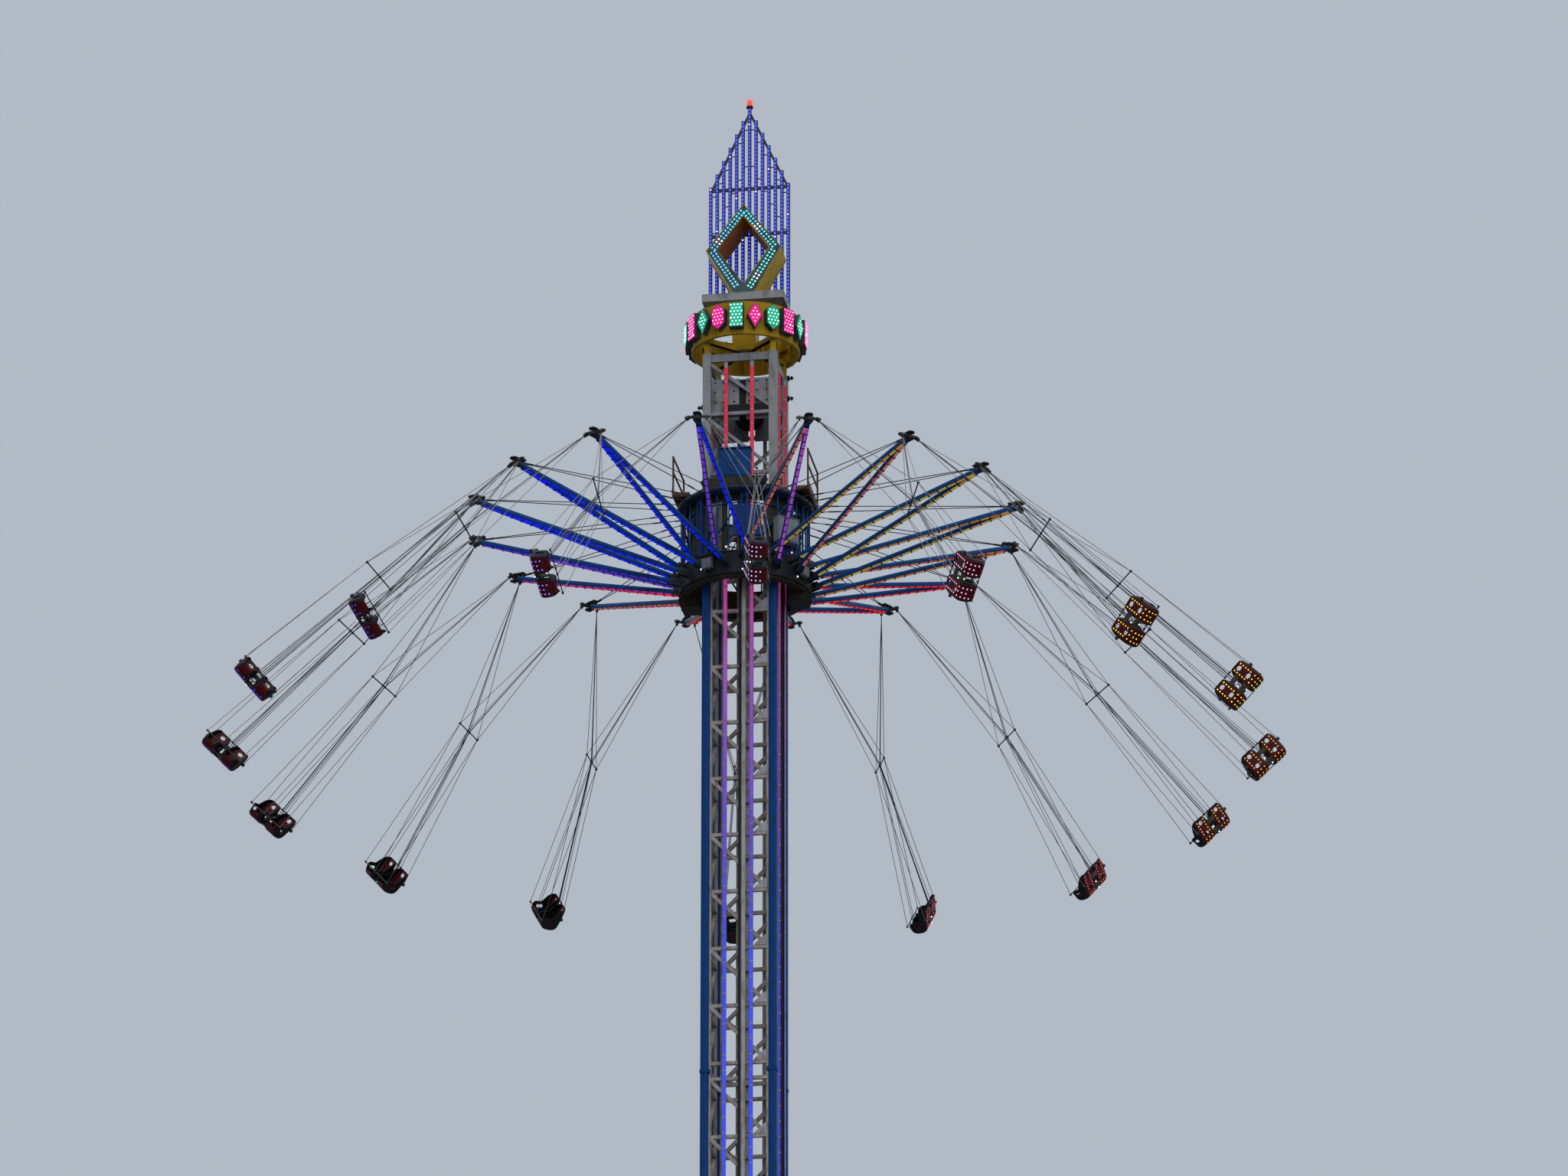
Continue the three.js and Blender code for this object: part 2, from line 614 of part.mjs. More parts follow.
// One arm: a narrow V of two square tubes, a block with two pins at the tip, and two stays.
function arm(angle) {
  const tip = polar(TIP_RADIUS, angle, TIP_Z);
  const pieces = [];
  [[1, ROOT_Z_AHEAD], [-1, ROOT_Z_BEHIND]].forEach(([side, rootZ]) => {
    const root = polar(ROOT_RADIUS, angle + side * ROOT_SPREAD, rootZ);
    pieces.push(bar(root, tip, ARM_TUBE));
    const ring = polar(DRUM_OUTER + 0.02 * METRE, angle + side * STAY_SPREAD, UPPER_RING_ZS[0] + 0.1 * METRE);
    pieces.push(roundBar(ring, tip, CABLE_RADIUS, 3));
    const along = chordDirection(angle, side);
    const pinEnd = tip.clone().addScaledVector(along, PIN_REACH);
    pieces.push(roundBar(tip, pinEnd, PIN_RADIUS, 6));
  });
  const head = block(-0.36 * METRE, 0.14 * METRE, -0.13 * METRE, 0.13 * METRE, -0.15 * METRE, 0.15 * METRE);
  pieces.push(head.rotateZ(angle).translate(tip.x, tip.y, tip.z));
  return fuse(pieces);
}

// The level direction from one arm tip towards the next one, ahead (1) or behind (-1).
function chordDirection(angle, side) {
  const here = polar(TIP_RADIUS, angle, 0);
  const next = polar(TIP_RADIUS, angle + side * ARM_STEP, 0);
  return next.sub(here).normalize();
}

// One double seat with its cables, drawn hanging from a pivot line along Y at the origin, facing +Y.
function seatUnit() {
  const halfChord = TIP_RADIUS * Math.sin(ARM_STEP / 2);
  const eyeY = halfChord - EYE_OFFSET;
  const eyeTop = -PIN_RADIUS - FIT_GAP;
  const ends = [-1, 1].map((side) => new THREE.Vector3(side * SPREADER_HALF, 0, -SPREADER_DROP));
  const pieces = seatShells();
  [-1, 1].forEach((side) => {
    const y = side * eyeY;
    const eye = 0.04 * METRE;
    pieces.push(block(-eye, eye, y - eye, y + eye, eyeTop - 2.4 * eye, eyeTop));
    const start = new THREE.Vector3(0, y, eyeTop - 1.6 * eye);
    ends.forEach((end) => pieces.push(roundBar(start, end, CABLE_RADIUS, 3)));
  });
  ends.forEach((end) => {
    const x = Math.sign(end.x) * (PAIR_HALF_WIDTH - SEAT_WALL / 2);
    const back = new THREE.Vector3(x, -0.33 * METRE, -SEAT_DROP + 0.33 * METRE);
    const front = new THREE.Vector3(x, 0.29 * METRE, -SEAT_DROP - 0.03 * METRE);
    pieces.push(roundBar(end, back, CABLE_RADIUS, 3), roundBar(end, front, CABLE_RADIUS, 3));
  });
  const beyond = new THREE.Vector3(0.03 * METRE, 0, 0);
  pieces.push(roundBar(ends[0].clone().sub(beyond), ends[1].clone().add(beyond), CABLE_RADIUS * 2, 4));
  return fuse(pieces);
}

// Two bucket seats side by side: one bent plate for seats and backs, and a wing at each seat's sides.
function seatShells() {
  const shellOutline = [
    [-0.4, 0.36], [-0.28, -0.3], [0.22, -0.32], [0.35, -0.14],
    [0.3, -0.12], [0.2, -0.25], [-0.23, -0.24], [-0.34, 0.36],
  ];
  const wingOutline = [
    [-0.42, 0.38], [-0.3, -0.325], [0.25, -0.345], [0.38, -0.12], [0.29, 0.02], [-0.04, 0.06], [-0.22, 0.4],
  ];
  const armHole = [[-0.19, -0.03], [-0.13, -0.16], [0.16, -0.16], [0.24, -0.08], [0.12, -0.04]];
  const scaled = (outline) => outline.map(([y, z]) => [y * METRE, z * METRE - SEAT_DROP]);
  const upright = (flat, x) => flat
    .applyMatrix4(new THREE.Matrix4().makeBasis(
      new THREE.Vector3(0, 1, 0),
      new THREE.Vector3(0, 0, 1),
      new THREE.Vector3(1, 0, 0),
    ))
    .translate(x, 0, 0);
  const half = PAIR_HALF_WIDTH - SEAT_WALL / 2;
  const pieces = [upright(plate(scaled(shellOutline), 2 * half), -half)];
  [-PAIR_HALF_WIDTH, PAIR_HALF_WIDTH - SEAT_WALL].forEach((x) => {
    pieces.push(upright(plate(scaled(wingOutline), SEAT_WALL, [scaled(armHole)]), x));
  });
  [-SEAT_INNER_SIDE - SEAT_WALL, SEAT_INNER_SIDE].forEach((x) => {
    pieces.push(upright(plate(scaled(wingOutline), SEAT_WALL), x));
  });
  return pieces;
}

function addArmsAndSeats() {
  const unit = seatUnit();
  const pivotRadius = TIP_RADIUS * Math.cos(ARM_STEP / 2);
  for (let n = 0; n < ARMS; n += 1) {
    const number = String(n + 1).padStart(2, "0");
    const angle = ARM_PHASE + n * ARM_STEP;
    addPiece(`arm_${number}`, arm(angle), "armBlue");
    const seat = addPiece(`seat_${number}`, unit.clone(), "seatRed");
    const middle = angle + ARM_STEP / 2;
    seat.position.copy(polar(pivotRadius, middle, TIP_Z));
    seat.rotation.set(0, -SEAT_SWING, middle, "ZYX");
  }
}

// The grey switch cabinet, on its mounting panel between two arms.
function addCabinet() {
  const back = CABINET_FACE;
  const cabinet = block(back, back + 0.3 * METRE, -0.36 * METRE, 0.36 * METRE, ...CABINET_ZS);
  addPiece("drum_cabinet", cabinet.rotateZ(CABINET_ANGLE), "cabinetGrey");
}

addBase();
addMast();
addHead();
addCrown();
addTopper();
addCarriage();
addDrum();
addCabinet();
addArmsAndSeats();

export default ride;
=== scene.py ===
import math

import bmesh
import bpy
from mathutils import Matrix, Vector


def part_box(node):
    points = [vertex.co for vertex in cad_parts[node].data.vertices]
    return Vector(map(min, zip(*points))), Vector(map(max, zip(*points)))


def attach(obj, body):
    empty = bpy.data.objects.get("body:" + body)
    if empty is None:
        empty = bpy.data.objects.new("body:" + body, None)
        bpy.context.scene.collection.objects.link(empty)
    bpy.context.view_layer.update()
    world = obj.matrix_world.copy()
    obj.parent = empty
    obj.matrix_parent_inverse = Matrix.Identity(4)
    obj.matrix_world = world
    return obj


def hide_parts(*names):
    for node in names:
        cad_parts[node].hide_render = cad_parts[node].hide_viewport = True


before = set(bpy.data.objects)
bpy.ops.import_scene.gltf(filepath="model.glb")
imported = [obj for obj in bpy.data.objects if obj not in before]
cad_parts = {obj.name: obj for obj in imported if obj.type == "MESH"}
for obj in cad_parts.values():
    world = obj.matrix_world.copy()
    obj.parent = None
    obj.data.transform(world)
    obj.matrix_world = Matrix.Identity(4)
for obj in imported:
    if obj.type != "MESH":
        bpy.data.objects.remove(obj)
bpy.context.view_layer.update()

scene = bpy.context.scene

# One metre of the real ride, in metres of the model. Sizes below are in metres of the real ride, and
# meshes, spots and runs come down to the model's size when they are made. Only the scales and the
# distances inside materials are the model's own.
METRE = 0.1
MESH_SMOOTH = 35
GROWN_SMOOTH = 40


# The viewpoint: a long lens on the ground, 210 m in front of the real ride and a little to its right,
# looking up at the arm ring. An even grey sky, one soft high light and a pale floor stand in for the day.
CAMERA_PLACE = Vector((33.66, -206.72, 1.12)) * METRE
CAMERA_HEADING = math.radians(98.94)
CAMERA_RISE = math.radians(21.82)
CAMERA_LENS = 177.9
BACKDROP = (0.445, 0.492, 0.555, 1)
SKY_LOW = (0.07, 0.075, 0.085, 1)
SKY_LEVEL = (0.34, 0.37, 0.42, 1)
SKY_HIGH = (0.95, 1.0, 1.08, 1)
FLOOR_RADIUS = 60
FLOOR_DROP = 0.005
FLOOR_PATCHES = 0.94
FLOOR_COLOUR = (0.42, 0.42, 0.42, 1)


def math_node(operation):
    """A Math node of that operation, as a method of Wire."""
    def apply(self, other):
        return self.graph.add("ShaderNodeMath", {"operation": operation}, {0: self, 1: other})
    return apply


class Wire:
    """An output socket that can stand in an expression."""

    def __init__(self, graph, socket):
        self.graph = graph
        self.socket = socket

    __add__ = __radd__ = math_node("ADD")
    __mul__ = __rmul__ = math_node("MULTIPLY")
    __gt__ = math_node("GREATER_THAN")
    __lt__ = math_node("LESS_THAN")

    def also(self, name):
        """Another output of the same node."""
        return Wire(self.graph, self.socket.node.outputs[name])

    def between(self, low, high):
        """0 below low, 1 above high, and smooth in between."""
        feeds = {"Value": self, "From Min": low, "From Max": high}
        return self.graph.add("ShaderNodeMapRange", {"interpolation_type": "SMOOTHSTEP"}, feeds)


class Graph:
    """A node tree, filled by one method that takes a node's kind, its settings and what feeds its sockets."""

    def __init__(self, tree):
        self.tree = tree
        tree.nodes.clear()

    def add(self, kind, settings=(), feeds=(), out=0):
        node = self.tree.nodes.new(kind)
        for name, value in dict(settings).items():
            setattr(node, name, value)
        for key, value in dict(feeds).items():
            if isinstance(value, Wire):
                self.tree.links.new(value.socket, node.inputs[key])
            else:
                node.inputs[key].default_value = value
        return Wire(self, node.outputs[out]) if node.outputs else node

    def mix(self, share, first, second):
        """Colour first where share is 0 and second where it is 1."""
        return self.add("ShaderNodeMix", {"data_type": "RGBA"}, {0: share, 6: first, 7: second}, 2)

    def noise(self, place, scale, detail=3, stretch=(1, 1, 1)):
        stretched = self.add("ShaderNodeMapping", {}, {"Vector": place, "Scale": stretch})
        return self.add("ShaderNodeTexNoise", {}, {"Vector": stretched, "Scale": scale, "Detail": detail})


heading = Vector((math.cos(CAMERA_HEADING), math.sin(CAMERA_HEADING), 0)) * math.cos(CAMERA_RISE)
heading.z = math.sin(CAMERA_RISE)
camera_data = bpy.data.cameras.new("camera")
camera_data.lens = CAMERA_LENS
camera = bpy.data.objects.new("camera", camera_data)
camera.location = CAMERA_PLACE
camera.rotation_euler = heading.to_track_quat("-Z", "Y").to_euler()
scene.collection.objects.link(camera)
scene.camera = camera
scene.view_settings.view_transform = "Standard"

scene.world = bpy.data.worlds.new("grey_day")
scene.world.use_nodes = True
sky = Graph(scene.world.node_tree)
sky_way = sky.add("ShaderNodeTexCoord", out="Generated")
sky_height = sky.add("ShaderNodeSeparateXYZ", {}, {"Vector": sky_way}, "Z")
lower_sky = sky.mix(sky_height.between(-0.5, 0.1), SKY_LOW, SKY_LEVEL)
whole_sky = sky.mix(sky_height.between(0.1, 0.9), lower_sky, SKY_HIGH)
seen_directly = sky.add("ShaderNodeLightPath", out="Is Camera Ray")
sky_light = sky.add("ShaderNodeBackground", {}, {"Color": sky.mix(seen_directly, whole_sky, BACKDROP)})
sky.add("ShaderNodeOutputWorld", {}, {"Surface": sky_light})

sun_data = bpy.data.lights.new("high_light", "SUN")
sun_data.energy = 1.1
sun_data.angle = math.radians(70)
sun = bpy.data.objects.new("high_light", sun_data)
sun.rotation_euler = (math.radians(40), math.radians(30), 0)
scene.collection.objects.link(sun)


def smoothed(mesh, degrees):
    """Shades a mesh round over the edges that are flatter than some degrees."""
    mesh.shade_smooth()
    mesh.set_sharp_from_angle(angle=math.radians(degrees))
    return mesh


def mesh_of(name, build):
    """A mesh in the model's size from a function that fills a bmesh in real metres."""
    bm = bmesh.new()
    build(bm)
    bmesh.ops.scale(bm, vec=[METRE] * 3, verts=bm.verts)
    bmesh.ops.recalc_face_normals(bm, faces=bm.faces)
    mesh = bpy.data.meshes.new(name)
    bm.to_mesh(mesh)
    bm.free()
    return smoothed(mesh, MESH_SMOOTH)


def show(name, mesh, material=None):
    piece = bpy.data.objects.new(name, mesh)
    scene.collection.objects.link(piece)
    if material:
        mesh.materials.append(material)
    return piece


def new_finish(name):
    """A material's graph and the object coordinates in it."""
    material = bpy.data.materials.new(name)
    material.use_nodes = True
    graph = Graph(material.node_tree)
    graph.material = material
    return graph, graph.add("ShaderNodeTexCoord", out="Object")


def shade(graph, **sockets):
    """Closes a material: base_color=... feeds the shader's Base Color, and so on."""
    feeds = {name.replace("_", " ").title().replace("Ior", "IOR"): value for name, value in sockets.items()}
    shader = graph.add("ShaderNodeBsdfPrincipled", {}, feeds)
    graph.add("ShaderNodeOutputMaterial", {}, {"Surface": shader})
    return graph.material


def dimmed(colour, share):
    """A colour with each of its channels times a share, opaque."""
    return tuple(share * c for c in colour[:3]) + (1,)


def floor_disc(bm):
    middle = Matrix.Translation((0, 0, -FLOOR_DROP))
    bmesh.ops.create_circle(bm, cap_ends=True, segments=96, radius=FLOOR_RADIUS, matrix=middle)


graph, place = new_finish("pale_floor")
floor_tone = graph.mix(graph.noise(place, 0.8), FLOOR_COLOUR, dimmed(FLOOR_COLOUR, FLOOR_PATCHES))
pale_floor = shade(graph, base_color=floor_tone, roughness=0.8)
floor_mesh = mesh_of("floor", floor_disc)
show("floor", floor_mesh, pale_floor)


# The base: a cross of heavy box beams on four pads under the tower, four rakers that prop its foot,
# and the round loading deck of tread plates. Painted welded steel, bolted down at the pads.
DARK_STEEL = (0.012, 0.013, 0.016, 1)
DARK_GRIME = (0.03, 0.025, 0.02, 1)
TOWER_BLUE = (0.0005, 0.045, 0.195, 1)
TOWER_GRIME = (0.002, 0.03, 0.11, 1)
SHEEN = 0.1
DECK_GREY = (0.17, 0.175, 0.18, 1)
DECK_GRIME = (0.125, 0.122, 0.117, 1)
PLATE_PITCH = 0.055
PAD_REACH = 10.5
PAD_RISE = 0.27
PAD_BOLT = 0.05


def painted_steel(name, colour, grime, roughness=0.4, metallic=0.0, patch=28, dirt=0.7):
    """Sprayed steel: grime in patches and in runs down the upright faces, and a slight orange peel."""
    graph, place = new_finish(name)
    patches = graph.noise(place, patch, 5)
    runs = graph.noise(place, patch * 7, 3, (1, 1, 0.07))
    soiled = (patches * 0.55 + runs * 0.45).between(0.44, 0.66) * dirt
    peel = graph.noise(place, 900, 2)
    bump = graph.add("ShaderNodeBump", {}, {"Strength": 0.12, "Distance": 0.0004, "Height": peel})
    return shade(
        graph,
        base_color=graph.mix(soiled, colour, grime),
        roughness=roughness + soiled * 0.25,
        metallic=metallic,
        specular_ior_level=SHEEN,
        normal=bump,
    )


def dress(material, *nodes):
    """Gives carried-over CAD nodes their finish."""
    for node in nodes:
        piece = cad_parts[node]
        piece.data.materials.clear()
        piece.data.materials.append(material)


def box(bm, low, high, turn=None):
    """A box between two corners, turned about the tower's axis or by a whole matrix."""
    low, high = Vector(low), Vector(high)
    size = Matrix.Diagonal((*(high - low), 1))
    matrix = (turn or Matrix.Identity(4)) @ Matrix.Translation((low + high) / 2) @ size
    return bmesh.ops.create_cube(bm, size=1, matrix=matrix)["verts"]


def rod(bm, start, end, radius, sides=8):
    """A round bar between two points, closed at both ends."""
    start, end = Vector(start), Vector(end)
    along = end - start
    matrix = Matrix.Translation((start + end) / 2) @ along.to_track_quat("Z", "Y").to_matrix().to_4x4()
    bmesh.ops.create_cone(
        bm,
        cap_ends=True,
        segments=sides,
        radius1=radius,
        radius2=radius,
        depth=along.length,
        matrix=matrix,
    )


def real_box(node):
    """The corners of a CAD node's box, in metres of the real ride."""
    return [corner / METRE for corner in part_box(node)]


def about_axis(degrees):
    return Matrix.Rotation(math.radians(degrees), 4, "Z")


def polar(radius, degrees, z):
    angle = math.radians(degrees)
    return Vector((radius * math.cos(angle), radius * math.sin(angle), z))


def new_tree(name, **sizes):
    """A Geometry Nodes tree with named sizes; returns its graph and its input wire."""
    tree = bpy.data.node_groups.new(name, "GeometryNodeTree")
    kinds = {float: "NodeSocketFloat", int: "NodeSocketInt", str: "NodeSocketObject"}
    tree.interface.new_socket("Geometry", in_out="INPUT", socket_type="NodeSocketGeometry")
    for label, value in sizes.items():
        socket = tree.interface.new_socket(label, in_out="INPUT", socket_type=kinds[type(value)])
        if not isinstance(value, str):
            socket.default_value = in_model(value)
    tree.interface.new_socket("Finish", in_out="INPUT", socket_type="NodeSocketMaterial")
    tree.interface.new_socket("Geometry", in_out="OUTPUT", socket_type="NodeSocketGeometry")
    graph = Graph(tree)
    return graph, graph.add("NodeGroupInput", out="Geometry")


def close_tree(graph, source, geometry):
    """Ends a tree: instances realized, and the finish set."""
    real = graph.add("GeometryNodeRealizeInstances", {}, {"Geometry": geometry})
    feeds = {"Geometry": real, "Material": source.also("Finish")}
    set_finish = graph.add("GeometryNodeSetMaterial", {}, feeds)
    graph.add("NodeGroupOutput", {}, {"Geometry": set_finish})
    return graph.tree


def set_out_tree(name, make, **sizes):
    """A tree that sets a small shape on every vertex of its host, turned by the host's turn attribute."""
    graph, source = new_tree(name, **sizes)
    turn = graph.add("GeometryNodeInputNamedAttribute", {"data_type": "QUATERNION"}, {"Name": "turn"})
    feeds = {"Points": source, "Instance": make(graph, source), "Rotation": turn}
    return close_tree(graph, source, graph.add("GeometryNodeInstanceOnPoints", {}, feeds))


def bolt_shape(graph, source):
    feeds = {"Vertices": 6, "Radius": source.also("Radius"), "Depth": source.also("Height")}
    return graph.add("GeometryNodeMeshCylinder", {}, feeds, "Mesh")


def settled(carrier):
    """The plain mesh of an object after its modifiers; the object and its own mesh go."""
    depsgraph = bpy.context.evaluated_depsgraph_get()
    mesh = bpy.data.meshes.new_from_object(
        carrier.evaluated_get(depsgraph), preserve_all_data_layers=True, depsgraph=depsgraph)
    host = carrier.data
    bpy.data.objects.remove(carrier)
    bpy.data.meshes.remove(host)
    return mesh


def in_model(value):
    """A size in the model's metres; counts and objects stay as they are."""
    return value * METRE if isinstance(value, float) else value


def grow(name, tree, host, finish, **sizes):
    """Runs a tree on a host mesh and returns the plain mesh that it makes; sizes are real metres."""
    carrier = show(name, host)
    modifier = carrier.modifiers.new("tree", "NODES")
    modifier.node_group = tree
    wanted = {label: in_model(size) for label, size in sizes.items()}
    wanted["Finish"] = finish
    for item in tree.interface.items_tree:
        if item.in_out == "INPUT" and item.name in wanted:
            modifier[item.identifier] = wanted[item.name]
    mesh = settled(carrier)
    mesh.name = name
    if not mesh.materials:
        mesh.materials.append(finish)
    return smoothed(mesh, GROWN_SMOOTH)


def set_glow(mesh, glows):
    """Gives each vertex the colour in which it lights up."""
    colours = mesh.attributes.new("glow", "FLOAT_COLOR", "POINT")
    colours.data.foreach_set("color", [x for glow in glows for x in glow])


def spots(places, glows=None):
    """Loose vertices, each with the turn of its matrix and, where lamps stand on them, its colour."""
    mesh = bpy.data.meshes.new("spots")
    mesh.from_pydata([m.to_translation() * METRE for m in places], [], [])
    turns = mesh.attributes.new("turn", "QUATERNION", "POINT")
    turns.data.foreach_set("value", [x for m in places for x in m.to_quaternion()])
    if glows:
        set_glow(mesh, glows)
    return mesh


def facing(place, way, up=(0, 0, 1)):
    """The matrix of a spot at a place whose Z looks along way and whose Y is as near to up as it can be."""
    z_axis = Vector(way).normalized()
    x_axis = Vector(up).cross(z_axis)
    if x_axis.length < 1e-5:
        x_axis = Vector((1, 0, 0))
    x_axis.normalize()
    turn = Matrix((x_axis, z_axis.cross(x_axis), z_axis)).transposed().to_4x4()
    return Matrix.Translation(Vector(place)) @ turn


BOLTS = set_out_tree("bolt_heads", bolt_shape, Radius=0.03, Height=0.02)

dark_steel = painted_steel("dark_steel", DARK_STEEL, DARK_GRIME, 0.45)
tower_blue = painted_steel("tower_blue", TOWER_BLUE, TOWER_GRIME, 0.34)

graph, place = new_finish("tread_plate")
stud_feeds = {"Vector": place, "Scale": 1 / (PLATE_PITCH * METRE), "Randomness": 0.0}
studs = graph.add("ShaderNodeTexVoronoi", {}, stud_feeds)
worn = graph.noise(place, 5, 5).between(0.35, 0.7)
bump_feeds = {"Strength": 0.6, "Distance": 0.0006, "Height": studs}
stud_bump = graph.add("ShaderNodeBump", {"invert": True}, bump_feeds)
tread_plate = shade(
    graph,
    base_color=graph.mix(worn, DECK_GREY, DECK_GRIME),
    roughness=0.45 + worn * 0.3,
    metallic=0.5,
    normal=stud_bump,
)
dress(dark_steel, "base_frame")
dress(tower_blue, "base_rakers")
dress(tread_plate, "loading_deck")


def pad_bolts():
    """Spots of the bolts on the four pads, three along each of four lines."""
    top = real_box("base_frame")[0].z + PAD_RISE
    places = []
    for quarter in range(4):
        for across in (-0.68, -0.56, 0.56, 0.68):
            for along in (0.2, 0.9, 1.6):
                spot = Vector((PAD_REACH - along, across, top))
                places.append(facing(about_axis(45 + 90 * quarter) @ spot, (0, 0, 1)))
    return places


pad_bolt_mesh = grow("base_pad_bolts", BOLTS, spots(pad_bolts()), dark_steel,
                     Radius=PAD_BOLT, Height=PAD_BOLT)
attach(show("base_pad_bolts", pad_bolt_mesh), "tower")


# The tower's corner posts: rolled hollow sections with round corners, sprayed deep blue,
# bolted end to end through square flanges at each section joint.
MAST_WIDTH = 2.2
MAST_POST = 0.24
POST_ROUND = 0.06
ROUND_STEPS = 5
BAY_HEIGHT = 1.72
SHORT_BAY = 0.46
BAYS_PER_SECTION = 9
BRACE_BAR = 0.1
SECTION_JOINT_Z = 85.6
FLANGE_HALF = 0.15
FLANGE_THICK = 0.045
FLANGE_BOLT = 0.022
FLANGE_BOLT_EDGE = 0.035
POST_MIDDLE = -MAST_WIDTH / 2 + MAST_POST / 2
FLANGE_MIDDLE = POST_MIDDLE + 0.02
SIDES = ("front", "right", "back", "left")
QUARTERS = [about_axis(90 * n) for n in range(4)]

post_low, post_high = real_box("mast_post_front")
MAST_FOOT_Z, MAST_TOP_Z = post_low.z, post_high.z


def round_square(half, corner, steps):
    """Points of a square with round corners, once round."""
    points = []
    for quarter in range(4):
        turn = Matrix.Rotation(quarter * math.pi / 2, 2)
        for step in range(steps + 1):
            angle = step / steps * math.pi / 2
            reach = half - corner
            points.append(turn @ Vector((reach + corner * math.cos(angle), reach + corner * math.sin(angle))))
    return points


def prism(bm, outline, z0, z1, matrix=None):
    """A bar of any outline from z0 to z1, closed at both ends, then moved by a matrix."""
    rings = [[bm.verts.new((x, y, z)) for x, y in outline] for z in (z0, z1)]
    count = len(outline)
    for n in range(count):
        m = (n + 1) % count
        bm.faces.new((rings[0][n], rings[0][m], rings[1][m], rings[1][n]))
    bm.faces.new(rings[1])
    bm.faces.new(list(reversed(rings[0])))
    verts = rings[0] + rings[1]
    if matrix:
        bmesh.ops.transform(bm, matrix=matrix, verts=verts)
    return verts


def section_joints():
    """Heights of the flange joints: the middle of each short bay, down to the foot."""
    heights = []
    z = SECTION_JOINT_Z
    while z > MAST_FOOT_Z + BAY_HEIGHT:
        heights.append(z + SHORT_BAY / 2)
        z -= BAYS_PER_SECTION * BAY_HEIGHT + SHORT_BAY
    return heights


def corner_post(bm):
    outline = round_square(MAST_POST / 2, POST_ROUND, ROUND_STEPS)
    place = Matrix.Translation((POST_MIDDLE, POST_MIDDLE, 0))
    prism(bm, outline, MAST_FOOT_Z, MAST_TOP_Z, place)


def corner_flanges(bm, z):
    """A square flange round each corner post at one height."""
    low, high = FLANGE_MIDDLE - FLANGE_HALF, FLANGE_MIDDLE + FLANGE_HALF
    for turn in QUARTERS:
        box(bm, (low, low, z - FLANGE_THICK), (high, high, z + FLANGE_THICK), turn)


def post_flanges(bm):
    for z in section_joints():
        corner_flanges(bm, z)


for turn, side in zip(QUARTERS, SIDES):
    post_mesh = mesh_of("post_" + side, corner_post)
    post_mesh.transform(turn)
    post = show("post_" + side, post_mesh, tower_blue)
    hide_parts("mast_post_" + side)
    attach(post, "tower")

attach(show("post_flanges", mesh_of("post_flanges", post_flanges), tower_blue), "tower")


def flange_bolts():
    """Spots of the bolts along the two inner edges of each flange, above and below it."""
    reach = FLANGE_HALF - FLANGE_BOLT_EDGE
    spread = (-reach, 0, reach)
    rim = [(a, b) for a in spread for b in spread if max(a, b) == reach]
    places = []
    for z in section_joints():
        for turn in QUARTERS:
            for a, b in rim:
                for way in (-1, 1):
                    spot = Vector((FLANGE_MIDDLE + a, FLANGE_MIDDLE + b, z + way * FLANGE_THICK * 1.1))
                    places.append(facing(turn @ spot, (0, 0, way)))
    return places


flange_bolt_mesh = grow("post_flange_bolts", BOLTS, spots(flange_bolts()), dark_steel,
                        Radius=FLANGE_BOLT, Height=FLANGE_BOLT)
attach(show("post_flange_bolts", flange_bolt_mesh), "tower")


# The tower's sides: level bars and one slanting bar a bay, of square tube dulled to a brownish grey,
# with a welded gusset where each slanting bar lands, and a guide channel up the middle of each side.
LATTICE_GREY = (0.36, 0.34, 0.315, 1)
LATTICE_STAIN = (0.19, 0.14, 0.11, 1)
CHANNEL_LIGHT = (0.34, 0.345, 0.355, 1)
CHANNEL_BROWN = (0.06, 0.032, 0.025, 1)
CHANNEL_STAIN = (0.03, 0.018, 0.015, 1)
BRACE_EDGE = 0.05
BRACE_FACE = MAST_WIDTH / 2 - 0.08
GUSSET_LEG = 0.36
GUSSET_RISE = 0.3
GUSSET_THICK = 0.02
RAIL_DEPTH = 0.05
# The pale rail is the channel's own grey; the dark strip of dark steel is painted shade of the channel's
# slot.
PALE_RAIL_AND_SHADED_SLOT = {"pale": (0.1, 0.2), "dark": (0.0, 0.065)}

lattice_grey = painted_steel("lattice_grey", LATTICE_GREY, LATTICE_STAIN, 0.5, 0.1, 40, 0.8)
channel_grey = painted_steel("channel_grey", CHANNEL_LIGHT, LATTICE_STAIN, 0.42, 0.3)
channel_brown = painted_steel("channel_brown", CHANNEL_BROWN, CHANNEL_STAIN, 0.5, 0.2)
dress(lattice_grey, *("mast_side_" + side for side in SIDES))
dress(channel_grey, "mast_channel_front", "mast_channel_back")
dress(channel_brown, "mast_channel_right", "mast_channel_left")


def level_bars():
    """Heights of the level bars from the top down, as in the frame: nine bays and a short one a section."""
    heights = [MAST_TOP_Z - BRACE_BAR]
    z = SECTION_JOINT_Z
    bottom = MAST_FOOT_Z + BAY_HEIGHT
    while z > bottom:
        for _ in range(BAYS_PER_SECTION):
            if z <= bottom:
                break
            heights.append(z)
            z -= BAY_HEIGHT
        heights.append(z)
        z -= SHORT_BAY
    return heights


def gusset_shape(bm):
    """A three-cornered plate whose square corner is at the origin, one leg up and one to the left."""
    corners = [(0, 0), (0, GUSSET_RISE), (-0.06, GUSSET_RISE), (-GUSSET_LEG, 0.03), (-GUSSET_LEG, 0)]
    prism(bm, corners, 0, GUSSET_THICK)


def shape_of_object(graph, source):
    return graph.add("GeometryNodeObjectInfo", {}, {"Object": source.also("Shape")}, "Geometry")


SHAPES = set_out_tree("set_out_shapes", shape_of_object, Shape="object")


